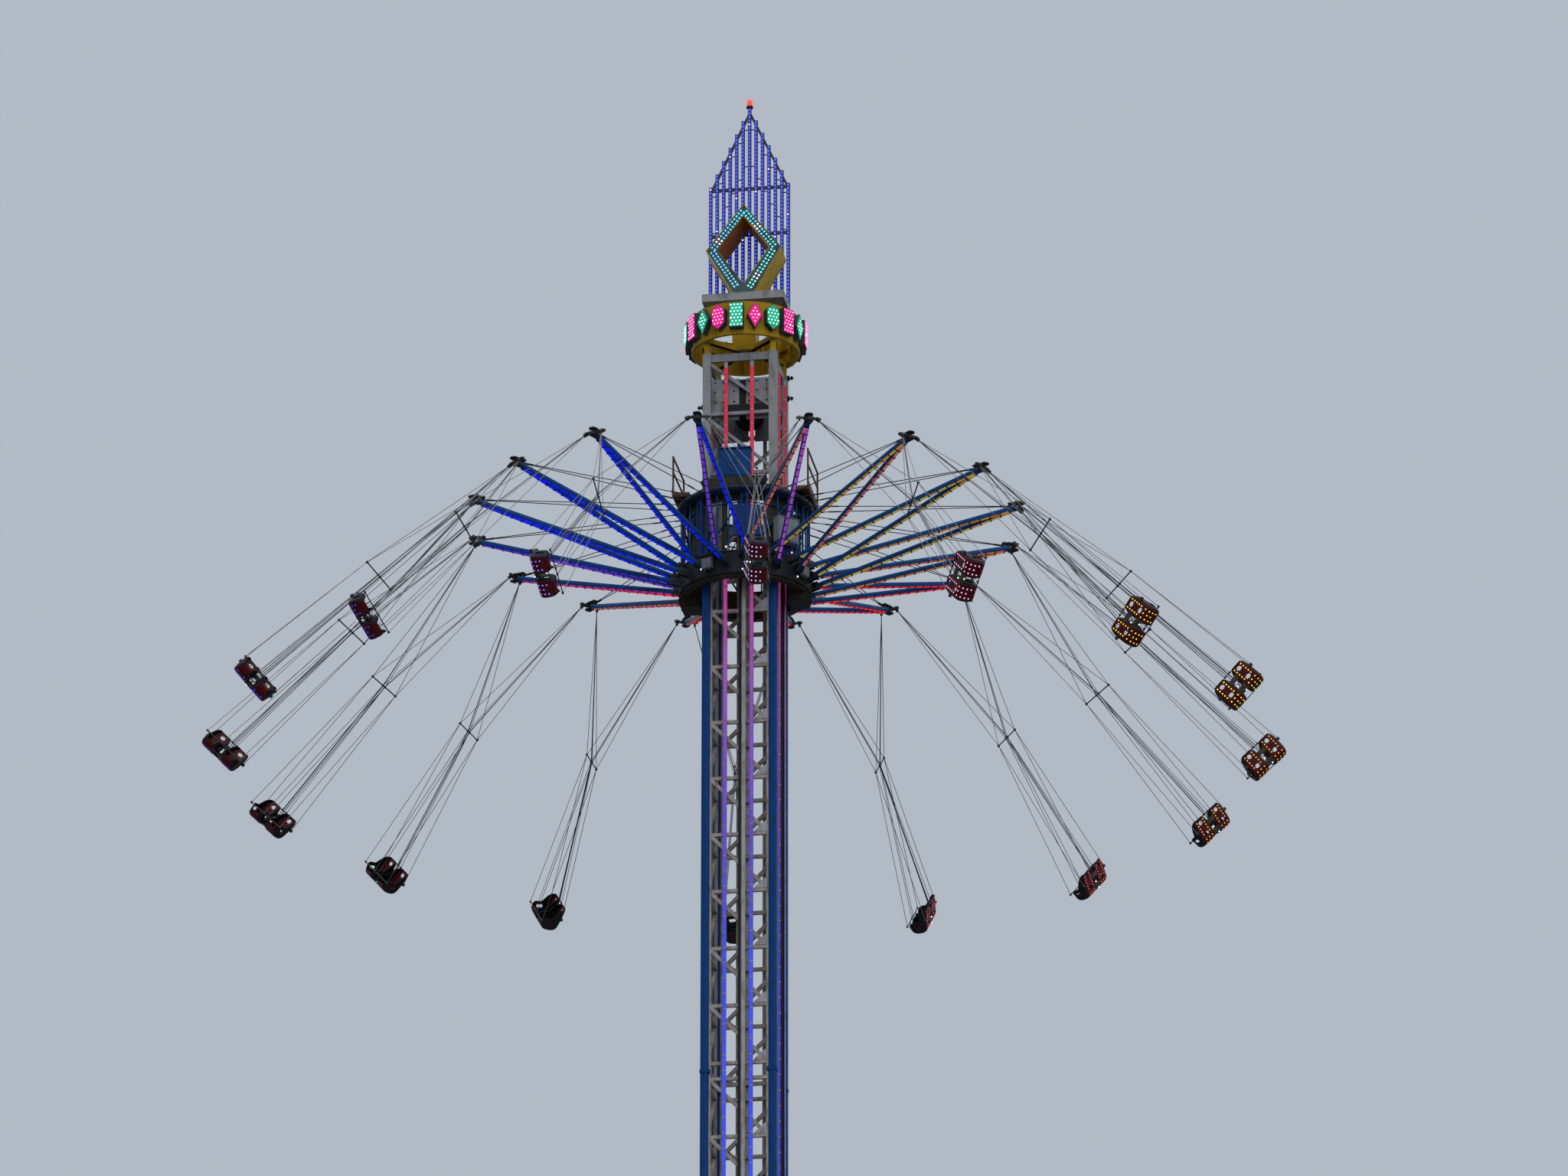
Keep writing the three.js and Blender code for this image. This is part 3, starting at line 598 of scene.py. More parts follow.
def grow_shapes(name, build, places, finish, glows=None):
    """Sets out copies of a small shape and returns them as one plain mesh."""
    shape_mesh = mesh_of(name + "_one", build)
    shape = show(name + "_one", shape_mesh)
    mesh = grow(name, SHAPES, spots(places, glows), finish, Shape=shape)
    bpy.data.objects.remove(shape)
    bpy.data.meshes.remove(shape_mesh)
    mesh.materials.clear()
    mesh.materials.append(finish)
    return mesh


def gussets():
    """Spots of the gussets, one at the foot of each full bay's slanting bar."""
    right = MAST_WIDTH / 2 - MAST_POST - BRACE_EDGE
    heights = level_bars()
    places = []
    for upper, lower in zip(heights, heights[1:]):
        if upper - lower < BAY_HEIGHT * 0.6:
            continue
        corner = Vector((right, -BRACE_FACE + GUSSET_THICK * 0.5, lower + BRACE_BAR / 2))
        places += [turn @ facing(corner, (0, -1, 0)) for turn in QUARTERS]
    return places


def channel_rail(bm, left, right):
    for turn in QUARTERS:
        low = (left, -MAST_WIDTH / 2 - RAIL_DEPTH, MAST_FOOT_Z)
        box(bm, low, (right, -MAST_WIDTH / 2, MAST_TOP_Z), turn)


gusset_mesh = grow_shapes("mast_gussets", gusset_shape, gussets(), channel_grey)
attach(show("mast_gussets", gusset_mesh), "tower")
# The dark strip stands for the shade in the channel's slot: painted shade.
for tone, finish in (("pale", channel_grey), ("dark", dark_steel)):
    rail_mesh = mesh_of("channel_rail_" + tone, lambda bm: channel_rail(bm, *PALE_RAIL_AND_SHADED_SLOT[tone]))
    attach(show("channel_rail_" + tone, rail_mesh, finish), "tower")


# The light tubes on the tower: two round plastic tubes up each side, laid in a folded beige tray and held
# by a clip every half metre. Their colour runs from red in the head to magenta, violet and blue below.
TUBE_RADIUS = 0.048
TUBE_SPOTS = [
    [(-0.4, -1.15), (0.37, -1.15)],
    [(-0.56, -1.08), (0.45, -1.08)],
]
TUBE_LOW_Z = 7.4
TUBE_TOP_Z = 91.5
TUBE_STEPS = 84
TUBE_CAP = 0.16
CLIP_PITCH = 0.46
TRAY_HALF = 0.056
TRAY_DEPTH = 0.055
TRAY_BEIGE = (0.27, 0.25, 0.19, 1)
TUBE_COLOURS = [
    (0, (0.05, 0.09, 0.9)),
    (40, (0.16, 0.05, 0.85)),
    (66, (0.035, 0.07, 0.85)),
    (72, (0.04, 0.07, 0.86)),
    (74, (0.045, 0.065, 0.72)),
    (76, (0.1, 0.06, 0.6)),
    (78, (0.125, 0.05, 0.62)),
    (80, (0.2, 0.065, 0.56)),
    (82, (0.29, 0.06, 0.42)),
    (84, (0.4, 0.04, 0.29)),
    (86, (0.54, 0.02, 0.08)),
    (101, (0.62, 0.008, 0.02)),
]
SIDE_TUBE_DIM = 0.65


def lamp_finish(name, strength, roughness):
    """Plastic that glows in the colour of the mesh's glow attribute, a little uneven along its length."""
    graph, place = new_finish(name)
    glow = graph.add("ShaderNodeAttribute", {"attribute_name": "glow"}, out="Color")
    uneven = graph.noise(place, 160, 2) * 0.5 + graph.noise(place, 9, 2) * 0.5
    dim = graph.add("ShaderNodeVectorMath", {"operation": "SCALE"}, {0: glow, "Scale": 0.72})
    body = graph.add("ShaderNodeVectorMath", {"operation": "SCALE"}, {0: glow, "Scale": 0.35})
    tone = graph.mix(uneven.between(0.35, 0.6), dim, glow)
    return shade(graph, base_color=body, roughness=roughness, specular_ior_level=SHEEN,
                 emission_color=tone, emission_strength=strength)


light_tube = lamp_finish("light_tube", 1.0, 0.35)
bulb_lamp = lamp_finish("bulb_lamp", 1.5, 0.2)
tube_cap_grey = painted_steel("tube_cap", (0.32, 0.33, 0.34, 1), LATTICE_STAIN, 0.5)
tray_beige = painted_steel("tube_tray", TRAY_BEIGE, LATTICE_STAIN, 0.5)


def blend_of(stops, value):
    """A colour between the stops around value, with an opaque alpha."""
    for (low, first), (high, second) in zip(stops, stops[1:]):
        if value <= high:
            share = max(0.0, (value - low) / (high - low))
            return tuple(a + (b - a) * share for a, b in zip(first, second)) + (1,)
    return (*stops[-1][1], 1)


def runs(chains, glows=None):
    """A mesh of open lines, one for each list of points, with a colour for each point where it glows."""
    mesh = bpy.data.meshes.new("runs")
    points, edges = [], []
    for chain in chains:
        edges += [(len(points) + n, len(points) + n + 1) for n in range(len(chain) - 1)]
        points += [Vector(p) * METRE for p in chain]
    mesh.from_pydata(points, edges, [])
    if glows:
        set_glow(mesh, glows)
    return mesh


def rod_tree():
    """Round bars along the host's lines, closed at their ends."""
    graph, source = new_tree("rods", Radius=0.05, Sides=8)
    curve = graph.add("GeometryNodeMeshToCurve", {}, {"Mesh": source})
    profile_feeds = {"Resolution": source.also("Sides"), "Radius": source.also("Radius")}
    profile = graph.add("GeometryNodeCurvePrimitiveCircle", {"mode": "RADIUS"}, profile_feeds)
    feeds = {"Curve": curve, "Profile Curve": profile, "Fill Caps": True}
    return close_tree(graph, source, graph.add("GeometryNodeCurveToMesh", {}, feeds))


def clip_tree():
    """Short sleeves along the host's lines, one every Pitch."""
    graph, source = new_tree("clips", Radius=0.06, Length=0.03, Pitch=0.5, Sides=8)
    curve = graph.add("GeometryNodeMeshToCurve", {}, {"Mesh": source})
    feeds = {"Curve": curve, "Length": source.also("Pitch")}
    points = graph.add("GeometryNodeCurveToPoints", {"mode": "LENGTH"}, feeds)
    sockets = {"Vertices": "Sides", "Radius": "Radius", "Depth": "Length"}
    feeds = {socket: source.also(label) for socket, label in sockets.items()}
    sleeve = graph.add("GeometryNodeMeshCylinder", {}, feeds, "Mesh")
    feeds = {"Points": points, "Instance": sleeve, "Rotation": points.also("Rotation")}
    return close_tree(graph, source, graph.add("GeometryNodeInstanceOnPoints", {}, feeds))


RODS = rod_tree()
CLIPS = clip_tree()


def tubes_of_sides():
    """The turn of each side with the x and y of each of its two tubes."""
    return [(turn, x, y) for n, turn in enumerate(QUARTERS) for x, y in TUBE_SPOTS[n % 2]]


def mast_tube_lines(low, top, count=1):
    """A line up each tube, in some equal steps."""
    heights = [low + (top - low) * n / count for n in range(count + 1)]
    return [[turn @ Vector((x, y, z)) for z in heights] for turn, x, y in tubes_of_sides()]


tube_lines = mast_tube_lines(TUBE_LOW_Z, TUBE_TOP_Z, TUBE_STEPS)
tube_glows = [dimmed(blend_of(TUBE_COLOURS, p.z), SIDE_TUBE_DIM if n // 2 % 2 else 1)
              for n, line in enumerate(tube_lines) for p in line]
tube_mesh = grow("mast_light_tubes", RODS, runs(tube_lines, tube_glows), light_tube,
                 Radius=TUBE_RADIUS, Sides=8)
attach(show("mast_light_tubes", tube_mesh), "tower")
clip_lines = mast_tube_lines(TUBE_LOW_Z + CLIP_PITCH / 2, TUBE_TOP_Z)
clip_mesh = grow("mast_light_clips", CLIPS, runs(clip_lines), tube_cap_grey,
                 Radius=TUBE_RADIUS * 1.18, Length=0.03, Pitch=CLIP_PITCH)
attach(show("mast_light_clips", clip_mesh), "tower")
cap_lines = mast_tube_lines(TUBE_TOP_Z, TUBE_TOP_Z + TUBE_CAP)
cap_lines += mast_tube_lines(TUBE_LOW_Z - TUBE_CAP, TUBE_LOW_Z)
cap_mesh = grow("mast_light_caps", RODS, runs(cap_lines), tube_cap_grey, Radius=TUBE_RADIUS * 1.12)
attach(show("mast_light_caps", cap_mesh), "tower")


def tube_trays(bm):
    for turn, x, y in tubes_of_sides():
        low = (x - TRAY_HALF, y + 0.005, TUBE_LOW_Z - TUBE_CAP)
        high = (x + TRAY_HALF, y + TRAY_DEPTH, TUBE_TOP_Z + TUBE_CAP)
        box(bm, low, high, turn)


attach(show("mast_light_trays", mesh_of("mast_light_trays", tube_trays), tray_beige), "tower")


# The head: a grey frame bolted on the tower's top. Split plates front and back carry the shaft of the
# lifting sheaves, turned steel wheels with a rope groove; a dark cross box in front and side sheets are
# bolted in.
HEAD_GREY = (0.26, 0.27, 0.28, 1)
HEAD_STAIN = (0.13, 0.122, 0.115, 1)
SHEAVE_RADIUS = 0.42
SHEAVE_HALF = 0.07
SHEAVE_PLACES = (-0.66, -0.48, 0.48, 0.66)
SHAFT_RADIUS = 0.09
BLOCK_HALF = Vector((0.2, 0.04, 0.17))
SIDE_SHEET = (0.86, -0.55, 90.15), (0.89, 0.86, 91.3)
SPLIT_STRIP = (-0.03, -0.87, 90.4), (0.13, -0.83, 91.18)
CROSS_BOX = (-0.5, -1.0, 90.16), (0.84, -0.9, 90.38)
PLATE_FACE_Y = -0.872
SHEET_FACE_X = 0.892
STUD_PARTS = ((0, 0.05, 0.085, 12), (0.04, 0.17, 0.035, 8), (0.1, 0.14, 0.07, 6))
BOLT_COLUMNS = (-0.76, -0.52, -0.2, 0.24, 0.48, 0.76)
BOLT_LEVELS = (90.52, 90.85, 91.15)
SHEET_BOLT_COLUMNS = (-0.42, 0, 0.4, 0.76)
SHEET_BOLT_LEVELS = (90.25, 91.2)
STUD_PLACES = [(1.1, 0.95, 91.95), (1.1, 0.95, 91.3), (-1.1, -0.95, 90.35), (-1.1, 0.95, 88.9)]


def turned(bm, profile, sides, matrix=None, closed=False):
    """Turns (radius, height) points about Z; a point on the axis closes that end."""
    rings = []
    for radius, height in profile:
        angles = [2 * math.pi * n / sides for n in range(sides if radius > 1e-6 else 1)]
        rings.append([bm.verts.new((radius * math.cos(a), radius * math.sin(a), height)) for a in angles])
    followers = rings[1:] + rings[:1] if closed else rings[1:]
    for lower, upper in zip(rings, followers):
        for n in range(sides):
            corners = [lower[n % len(lower)], lower[(n + 1) % sides % len(lower)],
                       upper[(n + 1) % sides % len(upper)], upper[n % len(upper)]]
            bm.faces.new(list(dict.fromkeys(corners)))
    verts = [vert for ring in rings for vert in ring]
    if matrix:
        bmesh.ops.transform(bm, matrix=matrix, verts=verts)
    return verts


def mirrored(profile):
    """The other half of a profile that is the same above and below, in the order that goes on from it."""
    return [(radius, -height) for radius, height in reversed(profile)]


def soft_box(bm, low, high, edge, turn=None):
    """A box with its edges taken off."""
    verts = box(bm, low, high, turn)
    edges = {e for vert in verts for e in vert.link_edges}
    bmesh.ops.bevel(bm, geom=list(edges), offset=edge, segments=1, affect="EDGES")


def sheaves(bm):
    drum_low, drum_high = real_box("head_sheave_drum")
    middle = (drum_low + drum_high) / 2
    hub, wheel, half = SHAFT_RADIUS * 1.7, SHEAVE_RADIUS, SHEAVE_HALF
    left = [(SHAFT_RADIUS, -half * 1.3), (hub, -half * 1.3), (hub, -half * 0.4), (wheel * 0.82, -half * 0.4),
            (wheel * 0.84, -half), (wheel, -half), (wheel, -half * 0.75), (wheel * 0.88, -half * 0.3)]
    profile = left + mirrored(left)
    for y in SHEAVE_PLACES:
        turned(bm, profile, 28, facing(middle + Vector((0, y, 0)), (0, 1, 0)), closed=True)
    rod(bm, (middle.x, drum_low.y, middle.z), (middle.x, drum_high.y, middle.z), SHAFT_RADIUS, 20)
    for side in (-1, 1):
        block = Vector((middle.x, side * (drum_high.y - BLOCK_HALF.y), middle.z))
        soft_box(bm, block - BLOCK_HALF, block + BLOCK_HALF, 0.02)


def head_sheets(bm):
    """The flanges on the tower's posts, and a sheet in each of the two side faces."""
    corner_flanges(bm, MAST_TOP_Z)
    for turn in QUARTERS[::2]:
        box(bm, *SIDE_SHEET, turn)


def head_boxes(bm):
    """Dark parts of the head: a cross box below the front plates, and the stay studs at the corners."""
    soft_box(bm, *CROSS_BOX, 0.012)
    for turn in QUARTERS[::2]:
        box(bm, *SPLIT_STRIP, turn)
    for x, y, z in STUD_PLACES:
        spot = Vector((x, y, z))
        outward = Vector((math.copysign(1, x), 0, 0))
        for start, end, radius, sides in STUD_PARTS:
            rod(bm, spot + outward * start, spot + outward * end, radius, sides)


head_grey = painted_steel("head_grey", HEAD_GREY, HEAD_STAIN, 0.42, 0.1, 32)
dress(head_grey, "head_frame")
sheave_piece = show("head_sheaves", mesh_of("head_sheaves", sheaves), dark_steel)
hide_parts("head_sheave_drum")
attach(sheave_piece, "tower")
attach(show("head_sheets", mesh_of("head_sheets", head_sheets), head_grey), "tower")
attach(show("head_boxes", mesh_of("head_boxes", head_boxes), dark_steel), "tower")


def head_plate_bolts():
    """Spots of the bolts on the split plates, front and back, and on the two side sheets."""
    places = []
    for turn in QUARTERS[::2]:
        places += [turn @ facing((x, PLATE_FACE_Y, z), (0, -1, 0)) for x in BOLT_COLUMNS for z in BOLT_LEVELS]
        for y in SHEET_BOLT_COLUMNS:
            places += [turn @ facing((SHEET_FACE_X, y, z), (1, 0, 0)) for z in SHEET_BOLT_LEVELS]
    return places


head_bolt_mesh = grow("head_bolts", BOLTS, spots(head_plate_bolts()), dark_steel, Radius=0.03, Height=0.02)
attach(show("head_bolts", head_bolt_mesh), "tower")


# The crown: a round yellow wall of rolled sheet with a turned-in lower edge, ribs inside, and spokes to a
# square hub. Twenty lit sign boxes stand on it, pink and turquoise by turns, each with its own bulb grid.
CROWN_YELLOW = (0.47, 0.29, 0.015, 1)
CROWN_BROWN = (0.2, 0.1, 0.012, 1)
SIGN_GREY = (0.055, 0.058, 0.062, 1)
CROWN_RADIUS = 1.6
CROWN_INNER = 1.54
CROWN_RIBS = 16
CROWN_LOW_Z, CROWN_TOP_Z = 92.36, 93.4
CROWN_FOLD = 0.03
SPOKE_LOW_Z = 92.38
RIB_TOP_Z = 93.36
INNER_LEDGE_Z = 92.9
HUB_HALF = 0.35
STUB_HALF = 0.08
SIGN_BOXES = 20
SIGN_DEPTH = 0.2
SIGN_LOW_Z, SIGN_TOP_Z = 92.48, 93.32
SIGN_EDGE = 0.012
SIGN_BULB_PITCH = 0.105
BULB_RADIUS = 0.028
SIGN_PINK = (0.8, 0.012, 0.26, 1)
SIGN_TEAL = (0.02, 0.42, 0.24, 1)
PINK_BULB = (1.0, 0.3, 0.62, 1)
TEAL_BULB = (0.42, 1.0, 0.82, 1)
WHITE_BULB = (1.0, 0.95, 1.0, 1)
SIGN_SHAPES = {
    "tablet": [(0.19, 0.37), (-0.19, 0.37), (-0.19, -0.37), (0.19, -0.37)],
    "lozenge": [(0, 0.4), (-0.21, 0), (0, -0.4), (0.21, 0)],
    "hexagon": [(0.19, 0.22), (0, 0.39), (-0.19, 0.22), (-0.19, -0.22), (0, -0.39), (0.19, -0.22)],
}


def crown_wall(bm):
    low, top = CROWN_LOW_Z, CROWN_TOP_Z
    outer, inner, fold = CROWN_RADIUS, CROWN_INNER, CROWN_FOLD
    profile = [
        (inner - fold, low + fold), (inner - fold, low), (outer - fold, low),
        (outer - fold * 0.3, low + fold * 0.3), (outer, low + fold), (outer, top - fold),
        (outer + fold * 0.4, top), (inner, top), (inner, low + fold),
    ]
    turned(bm, profile, 72, closed=True)


def crown_inside(bm):
    """Crossed spokes on their flanges, the hub, stubs down to the posts, ribs and a ledge on the wall."""
    low, hub_top = (corner.z for corner in real_box("crown_drum"))
    reach = CROWN_INNER + 0.02
    for turn in (45, 135):
        for half, height in ((0.05, 0.16), (0.09, 0.02)):
            box(bm, (-reach, -half, SPOKE_LOW_Z), (reach, half, SPOKE_LOW_Z + height), about_axis(turn))
    soft_box(bm, (-HUB_HALF, -HUB_HALF, SPOKE_LOW_Z), (HUB_HALF, HUB_HALF, hub_top), 0.02)
    stub_low, stub_high = POST_MIDDLE - STUB_HALF, POST_MIDDLE + STUB_HALF
    for turn in QUARTERS:
        box(bm, (stub_low, stub_low, low + 0.003), (stub_high, stub_high, SPOKE_LOW_Z + 0.1), turn)
    outer = CROWN_INNER + 0.01
    for n in range(CROWN_RIBS):
        rib_low = (CROWN_INNER - 0.16, -0.012, SPOKE_LOW_Z + 0.03)
        box(bm, rib_low, (outer, 0.012, RIB_TOP_Z), about_axis(360 * (n + 0.5) / CROWN_RIBS))
    inner, low, top = CROWN_INNER - 0.12, INNER_LEDGE_Z, INNER_LEDGE_Z + 0.03
    turned(bm, [(inner, low), (outer, low), (outer, top), (inner, top)], 48, closed=True)


def whole_crown(bm):
    crown_wall(bm)
    crown_inside(bm)


def sign_place(n, across=0.0, up=0.0, proud=0.0):
    """The place on the face of sign box n, looking outward, moved across, up and out."""
    middle = (SIGN_LOW_Z + SIGN_TOP_Z) / 2
    spot = Vector((CROWN_RADIUS + SIGN_DEPTH - SIGN_EDGE + proud, across, middle + up))
    return about_axis(360 * n / SIGN_BOXES) @ facing(spot, (1, 0, 0))


def sign_boxes(bm):
    """Deep boxes of each sign's own outline, from the wall to just short of the lit face."""
    for n in range(SIGN_BOXES):
        outline = SIGN_SHAPES[list(SIGN_SHAPES)[n % 3]]
        rim = [(x * 1.08, y * 1.06) for x, y in outline]
        prism(bm, rim, -SIGN_DEPTH, 0, sign_place(n))


def in_outline(outline, x, y, margin):
    """Whether a point lies inside a convex outline by at least a margin."""
    for (ax, ay), (bx, by) in zip(outline, outline[1:] + outline[:1]):
        edge = Vector((bx - ax, by - ay)).normalized()
        if edge.x * (y - ay) - edge.y * (x - ax) < margin:
            return False
    return True


def bulb_shape(bm, radius=BULB_RADIUS, rise=1.0):
    """A small lens on its base, as high as its radius times rise."""
    tall = radius * rise
    turned(bm, [(radius * 1.15, 0), (radius, tall * 0.35), (radius * 0.75, tall * 0.75), (0, tall)], 6)


def sign_lights():
    """Places and colours of the sign panels by shape, and of all the bulbs on them."""
    panels = {kind: ([], []) for kind in SIGN_SHAPES}
    bulbs, glows = [], []
    for n in range(SIGN_BOXES):
        kind = list(SIGN_SHAPES)[n % 3]
        pink = n % 2 == 0
        panels[kind][0].append(sign_place(n))
        panels[kind][1].append(SIGN_PINK if pink else SIGN_TEAL)
        outline = SIGN_SHAPES[kind]
        for row in range(-3, 4):
            for column in range(-2, 3):
                shift = 0.5 if row % 2 else 0
                x, y = (column + shift) * SIGN_BULB_PITCH, row * SIGN_BULB_PITCH
                if in_outline(outline, x, y, 0.03):
                    bulbs.append(sign_place(n, x, y, SIGN_EDGE))
                    white = (n * 5 + row * 3 + column * 7) % 29 == 0
                    glows.append(WHITE_BULB if white else PINK_BULB if pink else TEAL_BULB)
    return panels, bulbs, glows


crown_yellow = painted_steel("crown_yellow", CROWN_YELLOW, CROWN_BROWN, 0.32, 0.0, 22, 0.55)
sign_grey = painted_steel("sign_grey", SIGN_GREY, DARK_GRIME, 0.5)
crown = show("crown", mesh_of("crown", whole_crown), crown_yellow)
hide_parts("crown_drum")
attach(crown, "tower")
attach(show("sign_boxes", mesh_of("sign_boxes", sign_boxes), sign_grey), "tower")

panel_lamp = lamp_finish("panel_lamp", 0.75, 0.3)
sign_panels, sign_bulbs, sign_bulb_glows = sign_lights()
for kind, (panel_places, panel_glows) in sign_panels.items():
    panel_mesh = grow_shapes("sign_" + kind, lambda bm: prism(bm, SIGN_SHAPES[kind], 0, SIGN_EDGE),
                             panel_places, panel_lamp, panel_glows)
    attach(show("sign_" + kind, panel_mesh), "tower")
sign_bulb_mesh = grow_shapes("sign_bulbs", bulb_shape, sign_bulbs, bulb_lamp, sign_bulb_glows)
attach(show("sign_bulbs", sign_bulb_mesh), "tower")


# The topper: thirteen upright light bars in steps, dark steel behind and a blue lamp strip in front, and a
# folded yellow channel bent to a diamond, with a double row of bulbs on its front face. Its inside walls
# are brown paint, made darker than the outside as painted shade of the hollow.
BAR_COUNT = 13
BAR_WIDTH = 0.1
BAR_FALL = 0.425
BAR_BULB_PITCH = 0.12
BAR_BULB_RADIUS = 0.023
STRIP_BLUE = (0.006, 0.01, 0.28, 1)
PALE_BLUE = (0.1, 0.18, 0.8, 1)
CHANNEL_BULB_PITCH = 0.11
CHANNEL_BULB_ROWS = 0.055
BEACON_PROFILE = [(0, 0), (1, 0), (1, 0.16), (0.8, 0.2), (0.86, 0.26), (0.86, 0.62),
                  (0.74, 0.82), (0.42, 0.96), (0, 1)]
PLATE_GREY = (0.24, 0.252, 0.265, 1)
CHANNEL_OLIVE = (0.68, 0.46, 0.03, 1)
# The channel's inside colour: brown paint, made darker as painted shade of the hollow.
CHANNEL_INSIDE_AND_SHADE = (0.5, 0.2, 0.02, 1)
CHANNEL_STOPS = [
    (0, (0.25, 0.95, 0.8)),
    (2.5, (0.1, 0.75, 1.0)),
    (4.5, (0.12, 0.5, 1.0)),
    (6.5, (0.3, 0.9, 1.0)),
    (9, (0.25, 0.95, 0.8)),
]

frame_low, frame_high = real_box("topper_frame")
diamond_low, diamond_high = real_box("topper_diamond")
beacon_low, beacon_high = real_box("topper_beacon")
BAR_FRONT_Y = diamond_high.y + 0.003
PLATE_TOP_Z = diamond_low.z - 0.003
BAR_PITCH = (frame_high.x - frame_low.x - BAR_WIDTH) / (BAR_COUNT - 1)


def bar_places():
    """The x and the top of each light bar."""
    middle = (BAR_COUNT - 1) / 2
    return [((n - middle) * BAR_PITCH, frame_high.z - abs(n - middle) * BAR_FALL) for n in range(BAR_COUNT)]


def bar_strips(bm):
    for x, top in bar_places():
        low = (x - BAR_WIDTH * 0.42, BAR_FRONT_Y - 0.025, PLATE_TOP_Z + 0.05)
        high = (x + BAR_WIDTH * 0.42, BAR_FRONT_Y + 0.01, top - 0.02)
        soft_box(bm, low, high, 0.008)


def bar_bulbs():
    """Spots and colours of the bulbs down the light bars, a few of them white."""
    places, glows = [], []
    for n, (x, top) in enumerate(bar_places()):
        count = int((top - PLATE_TOP_Z - 0.1) / BAR_BULB_PITCH)
        for k in range(count):
            spot = (x, BAR_FRONT_Y - 0.025, top - 0.08 - k * BAR_BULB_PITCH)
            places.append(facing(spot, (0, -1, 0)))
            glows.append(WHITE_BULB if (n * 11 + k * 5) % 43 == 0 else PALE_BLUE)
    return places, glows


def bar_ties(bm):
    """Thin ties between neighbouring bars, two at each step of the outline."""
    places = bar_places()
    for (x, top), (next_x, next_top) in zip(places, places[1:]):
        for drop in (0.3, 1.5):
            z = min(top, next_top) - drop
            rod(bm, (x, BAR_FRONT_Y + 0.03, z), (next_x, BAR_FRONT_Y + 0.03, z), 0.018, 6)


def diamond_loops():
    """Outer and inner corners of the channel's front face, as (x, z), the flat foot first."""
    low, top = diamond_low.z, diamond_high.z
    middle = (low + top) / 2
    wide = diamond_high.x
    outer = [(-0.3, low), (0.3, low), (wide, middle), (0, top), (-wide, middle)]
    hole = wide - 0.351
    inner = [(-0.02, low + 0.345), (0.02, low + 0.345),
             (hole, middle), (0, top - 0.39), (-hole, middle)]
    return outer, inner


def diamond_channel(bm):
    outer, inner = diamond_loops()
    front, back = diamond_low.y, diamond_high.y
    rings = [[bm.verts.new((x, y, z)) for x, z in loop] for loop in (outer, inner) for y in (front, back)]
    outer_front, outer_back, inner_front, inner_back = rings
    faces = []
    for n in range(5):
        m = (n + 1) % 5
        bm.faces.new((outer_front[n], outer_front[m], outer_back[m], outer_back[n])).material_index = 0
        # The hole's walls take the darker inside finish: brown paint and painted shade.
        bm.faces.new((inner_front[m], inner_front[n], inner_back[n], inner_back[m])).material_index = 1
        bm.faces.new((outer_back[n], outer_back[m], inner_back[m], inner_back[n])).material_index = 0
        faces.append(bm.faces.new((outer_front[m], outer_front[n], inner_front[n], inner_front[m])))
    bm.normal_update()
    bmesh.ops.recalc_face_normals(bm, faces=bm.faces)
    bmesh.ops.inset_region(bm, faces=faces, thickness=0.016, depth=-0.03, use_even_offset=True)
    for face in faces:
        face.material_index = 2


def diamond_bulbs():
    """Spots and colours of the two rows of bulbs round the channel's face."""
    outer, inner = diamond_loops()
    centres = [Vector(((a + c) / 2, 0, (b + d) / 2)) for (a, b), (c, d) in zip(outer, inner)]
    face_y = diamond_low.y + 0.03
    places, glows = [], []
    run = 0.0
    for start, end in zip(centres[1:], centres[2:] + centres[:1]):
        along = (end - start).normalized()
        side = along.cross(Vector((0, 1, 0)))
        count = int((end - start).length / CHANNEL_BULB_PITCH)
        for k in range(count):
            middle = start + along * (k + 0.5) * CHANNEL_BULB_PITCH
            for row in (-1, 1):
                spot = middle + side * row * CHANNEL_BULB_ROWS
                spot.y = face_y
                places.append(facing(spot, (0, -1, 0)))
                white = round(run / CHANNEL_BULB_PITCH) % 17 in (3, 4)
                glows.append(WHITE_BULB if white else blend_of(CHANNEL_STOPS, run))
            run += CHANNEL_BULB_PITCH
    return places, glows


def beacon_lamp(bm):
    radius = (beacon_high.x - beacon_low.x) / 2 * 0.98
    low, tall = beacon_low.z, beacon_high.z - beacon_low.z
    profile = [(radius * out, low + tall * up) for out, up in BEACON_PROFILE]
    middle = (beacon_low + beacon_high) / 2
    verts = turned(bm, profile, 20, Matrix.Translation((middle.x, middle.y, 0)))
    for vert in verts:
        for face in vert.link_faces:
            face.material_index = 1 if face.calc_center_median().z < low + tall * 0.22 else 0


graph, place = new_finish("topper_steel")
height = graph.add("ShaderNodeSeparateXYZ", {}, {"Vector": place}, "Z")
soot = graph.noise(place, 30, 4).between(0.45, 0.7)
steel_tone = graph.mix(height > (PLATE_TOP_Z + 0.01) * METRE, PLATE_GREY, DARK_STEEL)
topper_tone = graph.mix(soot * 0.6, steel_tone, DARK_GRIME)
topper_steel = shade(graph, base_color=topper_tone, roughness=0.42 + soot * 0.25)
dress(topper_steel, "topper_frame")


def one_colour_lamp(name, colour, strength):
    """Lit plastic of one colour, a little duller in patches."""
    graph, place = new_finish(name)
    patches = graph.noise(place, 120, 3).between(0.35, 0.7)
    tone = graph.mix(patches, dimmed(colour, 0.7), colour)
    return shade(graph, base_color=tone, roughness=0.3, emission_color=tone, emission_strength=strength)


strip_lamp = one_colour_lamp("bar_strip_lamp", STRIP_BLUE, 0.8)
beacon_red = one_colour_lamp("beacon_red", (0.9, 0.06, 0.045, 1), 1.0)
channel_olive = painted_steel("channel_olive", CHANNEL_OLIVE, CROWN_BROWN, 0.4, dirt=0.4)
channel_inside_and_shade = painted_steel("channel_inside_and_shade", CHANNEL_INSIDE_AND_SHADE, DARK_GRIME, 0.5, dirt=0.35)
channel_face = painted_steel("channel_face", (0.06, 0.11, 0.12, 1), DARK_GRIME, 0.4)

